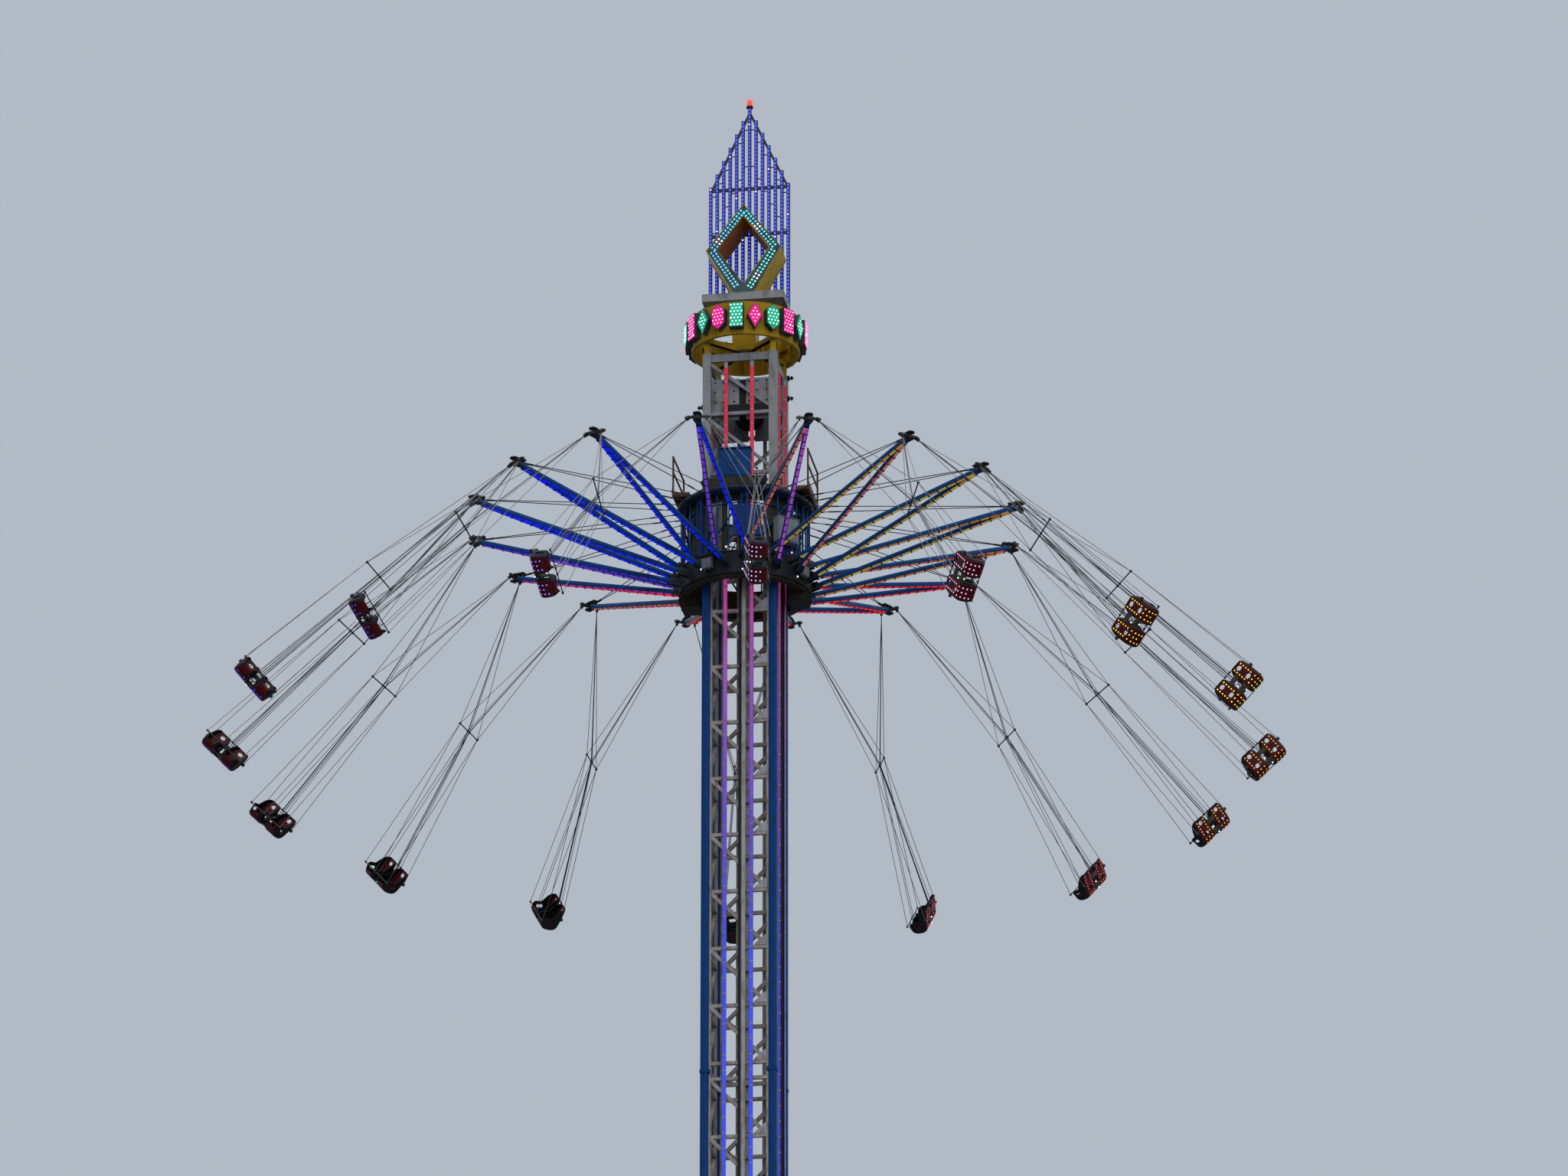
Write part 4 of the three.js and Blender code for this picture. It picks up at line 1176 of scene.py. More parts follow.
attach(show("topper_strips", mesh_of("topper_strips", bar_strips), strip_lamp), "tower")
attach(show("topper_ties", mesh_of("topper_ties", bar_ties), dark_steel), "tower")
bar_spots, bar_glows = bar_bulbs()
bar_bulb_mesh = grow_shapes("topper_bar_bulbs", lambda bm: bulb_shape(bm, BAR_BULB_RADIUS), bar_spots,
                            bulb_lamp, bar_glows)
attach(show("topper_bar_bulbs", bar_bulb_mesh), "tower")
diamond = show("topper_channel", mesh_of("topper_channel", diamond_channel), channel_olive)
diamond.data.materials.append(channel_inside_and_shade)
diamond.data.materials.append(channel_face)
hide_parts("topper_diamond")
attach(diamond, "tower")
channel_spots, channel_glows = diamond_bulbs()
channel_bulb_mesh = grow_shapes("topper_channel_bulbs", bulb_shape, channel_spots, bulb_lamp, channel_glows)
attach(show("topper_channel_bulbs", channel_bulb_mesh), "tower")
beacon = show("beacon", mesh_of("beacon", beacon_lamp), beacon_red)
beacon.data.materials.append(dark_steel)
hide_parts("topper_beacon")
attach(beacon, "tower")


# The carriage: a sleeve that rolls up the tower on shoes, a drive box under its ledge on each side,
# a front beam that carries the blue control box, and two walkways of bars with thin railings.
RUST_BROWN = (0.12, 0.065, 0.045, 1)
RUST_DARK = (0.05, 0.028, 0.02, 1)
BEAM_OLIVE = (0.035, 0.032, 0.022, 1)
BOX_BLUE = (0.001, 0.05, 0.195, 1)
LEDGE_BOLTS = 48
SLATS = 7
ROLLER_RADIUS = 0.11
ROLLER_Y = -1.22
ROLLER_WIDTH = 0.08
ROLLER_LEVELS = (84.78, 87.42)
FRONT_ROLLERS = ((-0.94, -1.56, 87.7), (0.79, -1.56, 87.7))
ROLLER_PROFILE = [(0, 0.9), (0.25, 0.9), (0.25, 0.5), (0.55, 0.4), (0.6, 0.5), (0.92, 0.5), (1, 0.38)]
DRIVE_TOP_Z = 84.62
DRIVE_RIBS = (-0.33, -0.11, 0.11, 0.33)
GEAR_PLACE = (1.82, 0.22, 84.5)
LEDGE_BOLT_RADIUS, TOP_BOLT_RADIUS = 1.79, 1.72
TOP_FLANGE_Z = 87.58
DOOR_THICK = 0.014
HINGE_SHARES = (0.2, 0.5, 0.8)
SLAT_HALF = 0.022
STRINGER_HALF = 0.025
CARRIAGE_CORNER = MAST_WIDTH / 2 - 0.08

control_low, control_high = real_box("control_box")
LEDGE_LOW_Z = 84.627
DRIVE_LOW_Z = real_box("carriage_sleeve")[0].z


def roller(bm, middle, way, radius, width):
    """A tyred roller with its hub and axle, centred on middle and turning about way."""
    left = [(radius * out, -width * share) for out, share in ROLLER_PROFILE]
    turned(bm, left + mirrored(left), 18, facing(middle, way))


def carriage_rollers(bm):
    for turn in QUARTERS:
        for side in (-1, 1):
            for z in ROLLER_LEVELS:
                middle = turn @ Vector((side * CARRIAGE_CORNER, ROLLER_Y, z))
                roller(bm, middle, turn @ Vector((1, 0, 0)), ROLLER_RADIUS, ROLLER_WIDTH)
    for middle in FRONT_ROLLERS:
        roller(bm, middle, (0, 1, 0), 0.12, 0.06)


def drive_details(bm):
    """Ribs round each drive box, a cover plate on its foot, and two gear caps on its outer face."""
    outline = [(1.3, DRIVE_LOW_Z), (1.86, DRIVE_LOW_Z), (1.92, DRIVE_TOP_Z), (1.3, DRIVE_TOP_Z)]
    for turn in QUARTERS[::2]:
        for y in DRIVE_RIBS:
            prism(bm, outline, -0.015, 0.015, turn @ facing((0, y, 0), (0, -1, 0)))
        cover_low, cover_high = DRIVE_LOW_Z - 0.02, DRIVE_LOW_Z + 0.015
        soft_box(bm, (1.28, -0.38, cover_low), (1.86, 0.38, cover_high), 0.01, turn)
        out = turn.to_3x3() @ Vector((1, 0, 0))
        for side in (-1, 1):
            start = turn @ Vector((GEAR_PLACE[0], side * GEAR_PLACE[1], GEAR_PLACE[2]))
            rod(bm, start, start + out * 0.07, 0.085, 14)
            rod(bm, start + out * 0.07, start + out * 0.1, 0.05, 14)


def ledge_bolts():
    """Spots of the bolts up through the sleeve's ledge and round its top flange."""
    places = []
    for n in range(LEDGE_BOLTS):
        spot = polar(LEDGE_BOLT_RADIUS, 360 * n / LEDGE_BOLTS, LEDGE_LOW_Z)
        places.append(facing(spot, (0, 0, -1)))
    for n in range(LEDGE_BOLTS // 2):
        degrees = 360 * (n + 0.5) * 2 / LEDGE_BOLTS
        places.append(facing(polar(TOP_BOLT_RADIUS, degrees, TOP_FLANGE_Z), polar(1, degrees, 0)))
    return places


def control_cabinet(bm):
    """A sheet box with two doors, hinges, handles and a rain hood."""
    low, high = control_low, control_high
    soft_box(bm, low, high, 0.018)
    middle = (low.x + high.x) / 2
    door_y = low.y - DOOR_THICK
    for x0, x1 in ((low.x + 0.03, middle - 0.008), (middle + 0.008, high.x - 0.03)):
        soft_box(bm, (x0, door_y, low.z + 0.05), (x1, low.y + 0.01, high.z - 0.06), 0.008)
    for x in (low.x + 0.03, high.x - 0.03):
        for share in HINGE_SHARES:
            z = low.z + (high.z - low.z) * share
            rod(bm, (x, door_y, z - 0.04), (x, door_y, z + 0.04), 0.014, 8)
    for side in (-1, 1):
        x = middle + side * 0.06
        z = (low.z + high.z) / 2
        box(bm, (x - 0.012, door_y - 0.03, z - 0.07), (x + 0.012, door_y, z + 0.07))
    hood = high.z - 0.035
    box(bm, (low.x - 0.02, low.y - 0.05, hood), (high.x + 0.02, high.y, high.z))


def walkway_slats(bm):
    for name in ("platform_left", "platform_right"):
        low, high = real_box(name)
        for n in range(SLATS):
            x = low.x + (high.x - low.x) * (n + 0.5) / SLATS
            box(bm, (x - SLAT_HALF, low.y, low.z - 0.035), (x + SLAT_HALF, high.y, low.z + 0.01))
        for y in (low.y + 0.05, 0, high.y - 0.05):
            foot = (low.x, y - STRINGER_HALF, low.z - 0.05)
            box(bm, foot, (high.x, y + STRINGER_HALF, low.z - 0.02))


rust_brown = painted_steel("rust_brown", RUST_BROWN, RUST_DARK, 0.55, 0.1, 50)
beam_olive = painted_steel("beam_olive", BEAM_OLIVE, DARK_GRIME, 0.5)
box_blue = painted_steel("box_blue", BOX_BLUE, TOWER_GRIME, 0.36)
dress(beam_olive, "carriage_sleeve")
dress(rust_brown, "platform_left", "platform_right")
control = show("control_cabinet", mesh_of("control_cabinet", control_cabinet), box_blue)
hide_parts("control_box")
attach(control, "carriage")
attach(show("carriage_rollers", mesh_of("carriage_rollers", carriage_rollers), dark_steel), "carriage")
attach(show("drive_details", mesh_of("drive_details", drive_details), dark_steel), "carriage")
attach(show("walkway_slats", mesh_of("walkway_slats", walkway_slats), rust_brown), "carriage")
ledge_bolt_mesh = grow("ledge_bolts", BOLTS, spots(ledge_bolts()), dark_steel, Radius=0.03, Height=0.03)
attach(show("ledge_bolts", ledge_bolt_mesh), "carriage")


# The turning drum: a heavy black slewing ring below and a round tube above, joined by blue posts with
# slanting braces and four sheet panels. The arms are pinned to lugs on the lower ring.
ARMS = 16
ARM_STEP = 360 / ARMS
ARM_PHASE = -0.5
DRUM_OUTER = 1.93
DRUM_MIDDLE = 1.86
UPPER_TUBE = 0.1
UPPER_TUBE_Z = 87.35
LOWER_RING_TOP = 85.4
RING_BOLTS = 96
CAGE_PIPES = 32
CAGE_LEVEL_Z = 86.95
PIPE_RADIUS = 0.022
BRACE_RADIUS = 0.028
RING_BOX_HALF = Vector((0.065, 0.16, 0.14))
RING_BOX_PLACES = ((-114, 85.06), (-22, 85.08), (66, 85.06), (156, 85.08))
CABINET_LOW_Z, CABINET_TOP_Z = 85.7, 86.47
ROOT_RADIUS = 1.96
ROOT_SPREAD = 15.5
ROOT_Z_AHEAD = 85.06
ROOT_Z_BEHIND = 85.3
RING_BLACK = (0.011, 0.013, 0.019, 1)
TUBE_NAVY = (0.008, 0.018, 0.045, 1)
DRUM_BLUE = (0.001, 0.03, 0.165, 1)
CABINET_GREY = (0.17, 0.195, 0.215, 1)
LAMP_PLACES = [(-121, 84.95), (-97.2, 85.5), (-83, 84.78), (-68, 85.62), (-62, 84.86), (-55, 85.55),
               (-38, 85.5), (-31, 84.82), (24, 85.5), (112, 85.5), (168, 85.5)]


def arm_angle(n):
    return ARM_PHASE + n * ARM_STEP


def upper_tube(bm):
    profile = [(DRUM_OUTER - 0.02 + UPPER_TUBE * math.cos(a), UPPER_TUBE_Z + UPPER_TUBE * math.sin(a))
               for a in (math.radians(36 * k) for k in range(10))]
    turned(bm, profile, 64, closed=True)


def lower_ring(bm):
    """A rolled ring round the frame's flat-sided one, with a flange above and a lip below."""
    low, top = real_box("drum_rings")[0].z, LOWER_RING_TOP
    outer = DRUM_OUTER
    lip, flange = 0.01, 0.016
    profile = [
        (outer - 0.13, low), (outer + lip, low), (outer + lip, low + 0.06), (outer, low + 0.08),
        (outer, top - 0.05), (outer + flange, top - 0.04), (outer + flange, top + 0.004),
        (outer - 0.13, top + 0.004),
    ]
    turned(bm, profile, 64, closed=True)


def drum_braces(bm):
    """The cage between the rings: upright pipes, a slanting one in each bay, and a level one near the top."""
    for n in range(CAGE_PIPES):
        degrees = 360 * (n + 0.5) / CAGE_PIPES
        foot = polar(DRUM_MIDDLE, degrees, LOWER_RING_TOP)
        rod(bm, foot, polar(DRUM_MIDDLE, degrees, UPPER_TUBE_Z - 0.1), PIPE_RADIUS)
    for n in range(ARMS // 2):
        first = arm_angle(2 * n) + ARM_STEP / 2
        second = first + 2 * ARM_STEP
        start = polar(DRUM_MIDDLE, first + 1.5, LOWER_RING_TOP)
        end = polar(DRUM_MIDDLE, second - 1.5, UPPER_TUBE_Z - 0.15)
        rod(bm, start, end, BRACE_RADIUS)
        level = [polar(DRUM_MIDDLE, degrees, CAGE_LEVEL_Z) for degrees in (first, second)]
        rod(bm, *level, PIPE_RADIUS)


def ring_bolts():
    """Spots of the bolts on the lower ring, above and below."""
    places = []
    ring_low = real_box("drum_rings")[0].z
    for n in range(RING_BOLTS):
        degrees = 360 * n / RING_BOLTS
        places.append(facing(polar(DRUM_OUTER - 0.02, degrees, LOWER_RING_TOP + 0.006), (0, 0, 1)))
        places.append(facing(polar(DRUM_OUTER - 0.03, degrees, ring_low), (0, 0, -1)))
    return places


def drum_boxes(bm):
    """Small junction boxes on the lower ring, their lids and the glands under them."""
    for degrees, z in RING_BOX_PLACES:
        turn = about_axis(degrees)
        middle = Vector((DRUM_OUTER + RING_BOX_HALF.x, 0, z))
        low, high = middle - RING_BOX_HALF, middle + RING_BOX_HALF
        soft_box(bm, low, high, 0.012, turn)
        soft_box(bm, low + Vector((0.13, -0.01, -0.01)), high + Vector((0.015, 0.01, 0.01)), 0.006, turn)
        for y in (-0.08, 0.08):
            start = turn @ Vector((2.0, y, low.z))
            rod(bm, start, start - Vector((0, 0, 0.06)), 0.02)


def switch_cabinet(bm):
    """The grey cabinet's body, door, rain edge, hinges and lock, drawn facing +X."""
    turn = about_axis(ARM_PHASE - 45)
    low = Vector((1.9, -0.36, CABINET_LOW_Z))
    high = Vector((2.185, 0.36, CABINET_TOP_Z))
    soft_box(bm, low, high, 0.015, turn)
    face = high.x
    door_low = (face, low.y + 0.03, low.z + 0.04)
    door_high = (face + 0.014, high.y - 0.03, high.z - 0.05)
    soft_box(bm, door_low, door_high, 0.006, turn)
    edge = (face + 0.015, high.y + 0.01, high.z)
    box(bm, (low.x, low.y - 0.01, high.z - 0.02), edge, turn)
    for share in HINGE_SHARES:
        z = low.z + (high.z - low.z) * share
        start = turn @ Vector((face + 0.008, high.y - 0.03, z - 0.04))
        rod(bm, start, start + Vector((0, 0, 0.08)), 0.012, 8)
    lock = turn @ Vector((face + 0.008, low.y + 0.09, (low.z + high.z) / 2))
    rod(bm, lock, lock + turn.to_3x3() @ Vector((0.007, 0, 0)), 0.03, 12)


graph, place = new_finish("drum_finish")
height = graph.add("ShaderNodeSeparateXYZ", {}, {"Vector": place}, "Z")
is_lower = height < (LOWER_RING_TOP + 0.002) * METRE
is_upper = height > (UPPER_TUBE_Z - 0.14) * METRE
drum_dirt = graph.noise(place, 36, 5).between(0.42, 0.68)
drum_tone = graph.mix(is_upper, graph.mix(is_lower, DRUM_BLUE, RING_BLACK), TUBE_NAVY)
drum_finish = shade(
    graph,
    base_color=graph.mix(drum_dirt * 0.5, drum_tone, DARK_GRIME),
    roughness=0.36 + drum_dirt * 0.25,
    specular_ior_level=SHEEN,
)
dress(drum_finish, "drum_rings")
ring_black = painted_steel("ring_black", RING_BLACK, DARK_GRIME, 0.4)
tube_navy = painted_steel("tube_navy", TUBE_NAVY, DARK_GRIME, 0.35)
cabinet_grey = painted_steel("cabinet_grey", CABINET_GREY, HEAD_STAIN, 0.4)
white_lamp = one_colour_lamp("white_lamp", (0.85, 0.88, 1.0, 1), 1.2)
cabinet = show("switch_cabinet", mesh_of("switch_cabinet", switch_cabinet), cabinet_grey)
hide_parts("drum_cabinet")
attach(cabinet, "arm_ring")
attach(show("upper_tube", mesh_of("upper_tube", upper_tube), tube_navy), "arm_ring")
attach(show("lower_ring", mesh_of("lower_ring", lower_ring), ring_black), "arm_ring")
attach(show("drum_braces", mesh_of("drum_braces", drum_braces), tower_blue), "arm_ring")
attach(show("drum_boxes", mesh_of("drum_boxes", drum_boxes), cabinet_grey), "arm_ring")
ring_bolt_mesh = grow("ring_bolts", BOLTS, spots(ring_bolts()), cabinet_grey, Radius=0.018, Height=0.018)
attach(show("ring_bolts", ring_bolt_mesh), "arm_ring")
ring_lamps = [facing(polar(1.98, degrees, z), polar(1, degrees, 0)) for degrees, z in LAMP_PLACES]
ring_lamp_mesh = grow_shapes("ring_lamps", bulb_shape, ring_lamps, white_lamp)
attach(show("ring_lamps", ring_lamp_mesh), "arm_ring")


# The sixteen arms: each a narrow V of two blue square tubes with rounded corners, pinned to lugs on the
# ring, a lamp strip in a half-round diffuser clipped under each tube, and two wire stays with turnbuckles.
TIP_RADIUS = 8.1
TIP_Z = 87
ARM_TUBE = 0.13
STAY_SPREAD = 7
STAY_RADIUS = 0.014
PIN_RADIUS = 0.03
PIN_REACH = 0.34
STRIP_DROP = ARM_TUBE / 2
STRIP_OUTLINE = [(-0.04, 0), (-0.04, 0.015), (-0.028, 0.03), (0.028, 0.03), (0.04, 0.015), (0.04, 0)]
STRIP_SHARES = (0.045, 0.95)
TUBE_END_SHARE = 0.975
HALF_TIP_PLATE = [(-0.36, -0.085), (-0.05, -0.12), (0.07, -0.115), (0.14, -0.05)]
TIP_PLATE_LEVELS = (-0.1, 0.075)
TIP_PLATE_THICK = 0.028
TIP_BOLTS = ((-0.3, 0.05), (-0.3, -0.05), (-0.16, 0.07), (-0.16, -0.07))
PIN_COLLARS = ((0.12, 0.035, 1.9), (0.205, 0.02, 1.7), (0.33, 0.03, 1.6))
ARM_CLIPS = 19
WAVE_STEP = 2.4
WAVE_SHIFT = 1.7
GREEN_SHARE = 0.87
GREEN_WAVE = 0.24
ARM_BLUE = (0.003, 0.055, 0.205, 1)
ARM_GRIME = (0.008, 0.04, 0.11, 1)
TIP_GREY = (0.045, 0.047, 0.05, 1)
YELLOW = (0.29, 0.215, 0.035)
AMBER = (0.3, 0.15, 0.035)
ORANGE = (0.33, 0.085, 0.035)
SALMON = (0.31, 0.1, 0.075)
SCARLET = (0.48, 0.035, 0.025)
RED = (0.6, 0.01, 0.03)
ROSE = (0.58, 0.012, 0.06)
MAGENTA = (0.28, 0.02, 0.26)
PURPLE = (0.28, 0.06, 0.45)
VIOLET = (0.13, 0.04, 0.46)
INDIGO = (0.035, 0.016, 0.45)
BLUE = (0.003, 0.014, 0.68)
STRIP_COLOURS = [
    (YELLOW, AMBER), (AMBER, ORANGE), (SCARLET, RED), (ROSE, RED),
    (RED, RED), (SALMON, RED), (SALMON, RED), (MAGENTA, RED),
    (INDIGO, VIOLET), (BLUE, BLUE), (BLUE, BLUE), (BLUE, BLUE),
    (BLUE, VIOLET), (PURPLE, SALMON), (SALMON, YELLOW), (YELLOW, YELLOW),
]


def beam(bm, start, end, outline, up=(0, 0, 1)):
    """A bar of any outline from start to end, the outline's Y as near to up as it can be."""
    start, end = Vector(start), Vector(end)
    return prism(bm, outline, 0, (end - start).length, facing(start, end - start, up))


def under_of(root, tip):
    """The unit vector square to a tube that points down."""
    along = (tip - root).normalized()
    side = along.cross(Vector((0, 0, 1))).normalized()
    return along.cross(side).normalized()


def arm_tubes():
    """Root, tip and side of the two tubes of the arm along +X, the one ahead in the turn first."""
    tip = Vector((TIP_RADIUS, 0, TIP_Z))
    ahead = polar(ROOT_RADIUS, ROOT_SPREAD, ROOT_Z_AHEAD)
    behind = polar(ROOT_RADIUS, -ROOT_SPREAD, ROOT_Z_BEHIND)
    return [(ahead, tip, 1), (behind, tip, -1)]


def chord_way(side):
    """The level direction from the tip along +X to the next tip, ahead (1) or behind (-1)."""
    return (polar(1, side * ARM_STEP, 0) - polar(1, 0, 0)).normalized()


def arm_steel(bm):
    """Tip plates with their bolts, the two seat pins with collars, root lugs, and the stays."""
    tip = Vector((TIP_RADIUS, 0, TIP_Z))
    outline = HALF_TIP_PLATE + mirrored(HALF_TIP_PLATE)
    for z in TIP_PLATE_LEVELS:
        prism(bm, outline, z, z + TIP_PLATE_THICK, Matrix.Translation(tip))
    rod(bm, tip - Vector((0, 0, 0.145)), tip + Vector((0, 0, 0.145)), 0.055, 14)
    for x, y in TIP_BOLTS:
        spot = tip + Vector((x, y, 0))
        rod(bm, spot - Vector((0, 0, 0.125)), spot + Vector((0, 0, 0.125)), 0.022, 6)
    for side in (-1, 1):
        way = chord_way(side)
        rod(bm, tip, tip + way * PIN_REACH, PIN_RADIUS, 10)
        for reach, width, radius in PIN_COLLARS:
            start = tip + way * reach
            rod(bm, start, start + way * width, PIN_RADIUS * radius, 10)
    for root, end, side in arm_tubes():
        along = (end - root).normalized()
        across = along.cross(Vector((0, 0, 1))).normalized()
        for sign in (-1, 1):
            middle = root + across * sign * (ARM_TUBE / 2 + 0.018)
            beam(bm, middle - along * 0.1, middle + along * 0.22, rectangle(0.02, 0.2))
        for reach in (0.06, 0.16):
            spot = root + along * reach
            rod(bm, spot - across * 0.115, spot + across * 0.115, 0.03)
        foot = polar(DRUM_OUTER + 0.03, side * STAY_SPREAD, UPPER_TUBE_Z - 0.03)
        way = (tip - foot).normalized()
        rod(bm, foot, tip, STAY_RADIUS, 6)
        for reach, length in ((0, 0.2), (0.5, 0.35), ((tip - foot).length - 0.6, 0.3)):
            thick_end = foot + way * reach
            rod(bm, thick_end, thick_end + way * length, STAY_RADIUS * 1.6)


def rectangle(width, height):
    x, y = width / 2, height / 2
    return [(-x, -y), (x, -y), (x, y), (-x, y)]


def arm_bars(bm):
    for root, tip, side in arm_tubes():
        beam(bm, root, root.lerp(tip, TUBE_END_SHARE), round_square(ARM_TUBE / 2, 0.025, 2))


def in_slot(bm, slot, build):
    """Runs a building step and puts the faces that it adds into a material slot."""
    before = set(bm.faces)
    build(bm)
    for face in set(bm.faces) - before:
        face.material_index = slot


def whole_arm(bm):
    arm_bars(bm)
    in_slot(bm, 1, arm_steel)


def strip_runs():
    """Start and end of the light strip under each tube, the way it faces, and its colour."""
    strips = []
    for n in range(ARMS):
        turn = about_axis(arm_angle(n))
        for (root, tip, side), colour in zip(arm_tubes(), STRIP_COLOURS[n]):
            under = under_of(root, tip)
            ends = [turn @ (root.lerp(tip, share) + under * STRIP_DROP) for share in STRIP_SHARES]
            strips.append((*ends, turn.to_3x3() @ under, colour))
    return strips


def light_strips(bm):
    glow = bm.verts.layers.float_color.new("glow")
    for number, (start, end, under, (red, green, blue)) in enumerate(strip_runs()):
        for n in range(ARM_CLIPS):
            ends = [start.lerp(end, (n + share) / ARM_CLIPS) for share in (0.01, 0.99)]
            wave = math.sin(WAVE_STEP * n + WAVE_SHIFT * number)
            for vert in beam(bm, *ends, STRIP_OUTLINE, up=under):
                vert[glow] = (red, green * (GREEN_SHARE + GREEN_WAVE * wave), blue, 1)


def strip_clips(bm):
    for start, end, under, colour in strip_runs():
        along = (end - start).normalized() * 0.02
        for n in range(ARM_CLIPS + 1):
            middle = start.lerp(end, n / ARM_CLIPS) + under * 0.015
            beam(bm, middle - along, middle + along, rectangle(0.1, 0.044), up=under)


arm_blue = painted_steel("arm_blue", ARM_BLUE, ARM_GRIME, 0.32)
tip_grey = painted_steel("tip_grey", TIP_GREY, DARK_GRIME, 0.42, 0.4)
for n in range(ARMS):
    arm_mesh = mesh_of(f"arm_{n + 1:02d}_steel", whole_arm)
    arm_mesh.transform(about_axis(arm_angle(n)))
    arm = show(f"arm_{n + 1:02d}_steel", arm_mesh, arm_blue)
    arm_mesh.materials.append(tip_grey)
    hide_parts(f"arm_{n + 1:02d}")
    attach(arm, "arm_ring")

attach(show("arm_light_strips", mesh_of("arm_light_strips", light_strips), light_tube), "arm_ring")
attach(show("arm_light_clips", mesh_of("arm_light_clips", strip_clips), dark_steel), "arm_ring")


# The double seats: two moulded tubs side by side, dark red-brown below and blue-black at the wings, with a
# padded rim, an arm opening and two openings in the back. Two straps join them; bulbs run up the back.
SEAT_SWING = 44.5
SEAT_DROP = 10.08
SPREADER_DROP = 4.96
SPREADER_HALF = 0.52
SPREADER_INNER = 0.046
TUB_INNER_X = 0.095
TUB_OUTER_X = 0.625
TUB_MIDDLE = (TUB_INNER_X + TUB_OUTER_X) / 2
TUB_WALL = 0.026
TUB_CORNER = 0.085
WING_COLUMNS = 4
WINDOW_ROWS = (1, 3)
WINDOW_HALF_X = 0.12
WINDOW_SPAN_Z = (-0.2, 0.37)
WINDOW_SHARE = 0.36
ARM_OPENING_ROWS = (5, 6, 7, 8)
SEAT_BULB_RADIUS = 0.02
SEAT_BULB_RISE = 0.5
EYE_Y = 1.31
EYE_Z = -0.1
CABLE_RADIUS = 0.0095
SAFETY_RADIUS = 0.013
RIM_RADIUS = 0.022
SEAT_RED = (0.085, 0.006, 0.008, 1)
SEAT_RED_DULL = (0.035, 0.006, 0.007, 1)
WING_BLACK = (0.01, 0.012, 0.018, 1)
RIM_BLACK = (0.01, 0.01, 0.011, 1)
CABLE_GREY = (0.22, 0.21, 0.21, 1)
PANEL_OLIVE = (0.06, 0.055, 0.038, 1)
BACK_BULB_PITCH = 0.096
UNDER_BULB_PITCH = 0.118
BACK_BULB_ROWS = [(-0.133, 0.075, 5), (0.133, 0.075, 5)]
UNDER_BULB_ROWS = [(-0.133, 0.62, 4), (0, 0.62, 3), (0.133, 0.62, 4)]
STRAPS = [(0.18, 0.32), (0.52, 0.6), (0.6, 0.72)]
REAR_LUGS = {0.655: (-0.34, 0.12), 0.09: (-0.41, 0.4)}
FRONT_LUG = (0.27, -0.02)
LUG_HALF = Vector((0.03, 0, 0))
THIN_BAR = 0.014
LAP_BAR = 0.016
LAP_BAR_X = 0.69
BALL_RADIUS = 0.042
STRAP_LAMPS = ((-0.05, 0.46), (0.04, 0.7))
TUB_ROWS = [
    (-0.412, 0.4, -0.372, 0.405, 0.6),
    (-0.402, 0.346, -0.3, 0.37, 0.86),
    (-0.374, 0.204, -0.205, 0.25, 0.98),
    (-0.335, -0.002, -0.13, 0.11, 1),
    (-0.309, -0.135, -0.09, 0.06, 1),
    (-0.29, -0.212, -0.05, 0.045, 1),
    (-0.252, -0.278, -0.01, 0.04, 1),
    (-0.18, -0.318, 0.03, 0.036, 1),
    (-0.07, -0.33, 0.08, 0.034, 0.99),
    (0.04, -0.328, 0.13, 0.03, 0.96),
    (0.13, -0.305, 0.18, 0.01, 0.89),
    (0.19, -0.24, 0.215, -0.05, 0.76),
    (0.215, -0.165, 0.232, -0.12, 0.6),
]
SHELL_CURVE = [row[:2] for row in TUB_ROWS]
SIDE_SHARES = (1, 0.8, 0.42, 0.16)
SEAT_LIGHTS = {
    "white": (0.55, 0.45, 1.0, 1),
    "rose": (0.85, 0.42, 0.7, 1),
    "yellow": (0.74, 0.64, 0.06, 1),
    "ochre": (0.55, 0.36, 0.06, 1),
    "red": (0.7, 0.07, 0.05, 1),
    "blue": (0.04, 0.05, 0.95, 1),
    "violet": (0.28, 0.18, 0.95, 1),
}
SEAT_COLOURS = ["ochre", "ochre", "red", "red", "rose", "violet", "violet", "blue",
                "blue", "blue", "blue", "violet", "white", "rose", "yellow", "yellow"]


def tub_rows():
    """Rows of points across one tub: up one wing, across the shell, and down the other wing."""
    rows = []
    for shell_y, shell_z, wing_y, wing_z, share in TUB_ROWS:
        half = (TUB_OUTER_X - TUB_INNER_X) / 2 * share
        shell = Vector((0, shell_y, shell_z))
        wing = Vector((0, wing_y, wing_z))
        side = [(half, shell.lerp(wing, part)) for part in SIDE_SHARES]
        side.append((half - TUB_CORNER * 0.35, shell.lerp(wing, 0.03)))
        side.append((half - TUB_CORNER, shell))
        side.append((half * WINDOW_SHARE, shell))
        row = [Vector((TUB_MIDDLE - x, p.y, p.z - SEAT_DROP)) for x, p in side]
        row += [Vector((TUB_MIDDLE + x, p.y, p.z - SEAT_DROP)) for x, p in reversed(side)]
        rows.append(row)
    return rows


def is_open(row, column, columns):
    """Whether a cell is left out: two windows in the back, and an arm opening in each wing."""
    if column == columns // 2:
        return row in WINDOW_ROWS
    return column in (1, columns - 2) and row in ARM_OPENING_ROWS


def tub(bm):
    rows = tub_rows()
    grid = [[bm.verts.new(p) for p in row] for row in rows]
    columns = len(rows[0]) - 1
    for r in range(len(rows) - 1):
        for c in range(columns):
            if is_open(r, c, columns):
                continue
            face = bm.faces.new((grid[r][c], grid[r][c + 1], grid[r + 1][c + 1], grid[r + 1][c]))
            face.material_index = 0 if WING_COLUMNS <= c < columns - WING_COLUMNS else 1


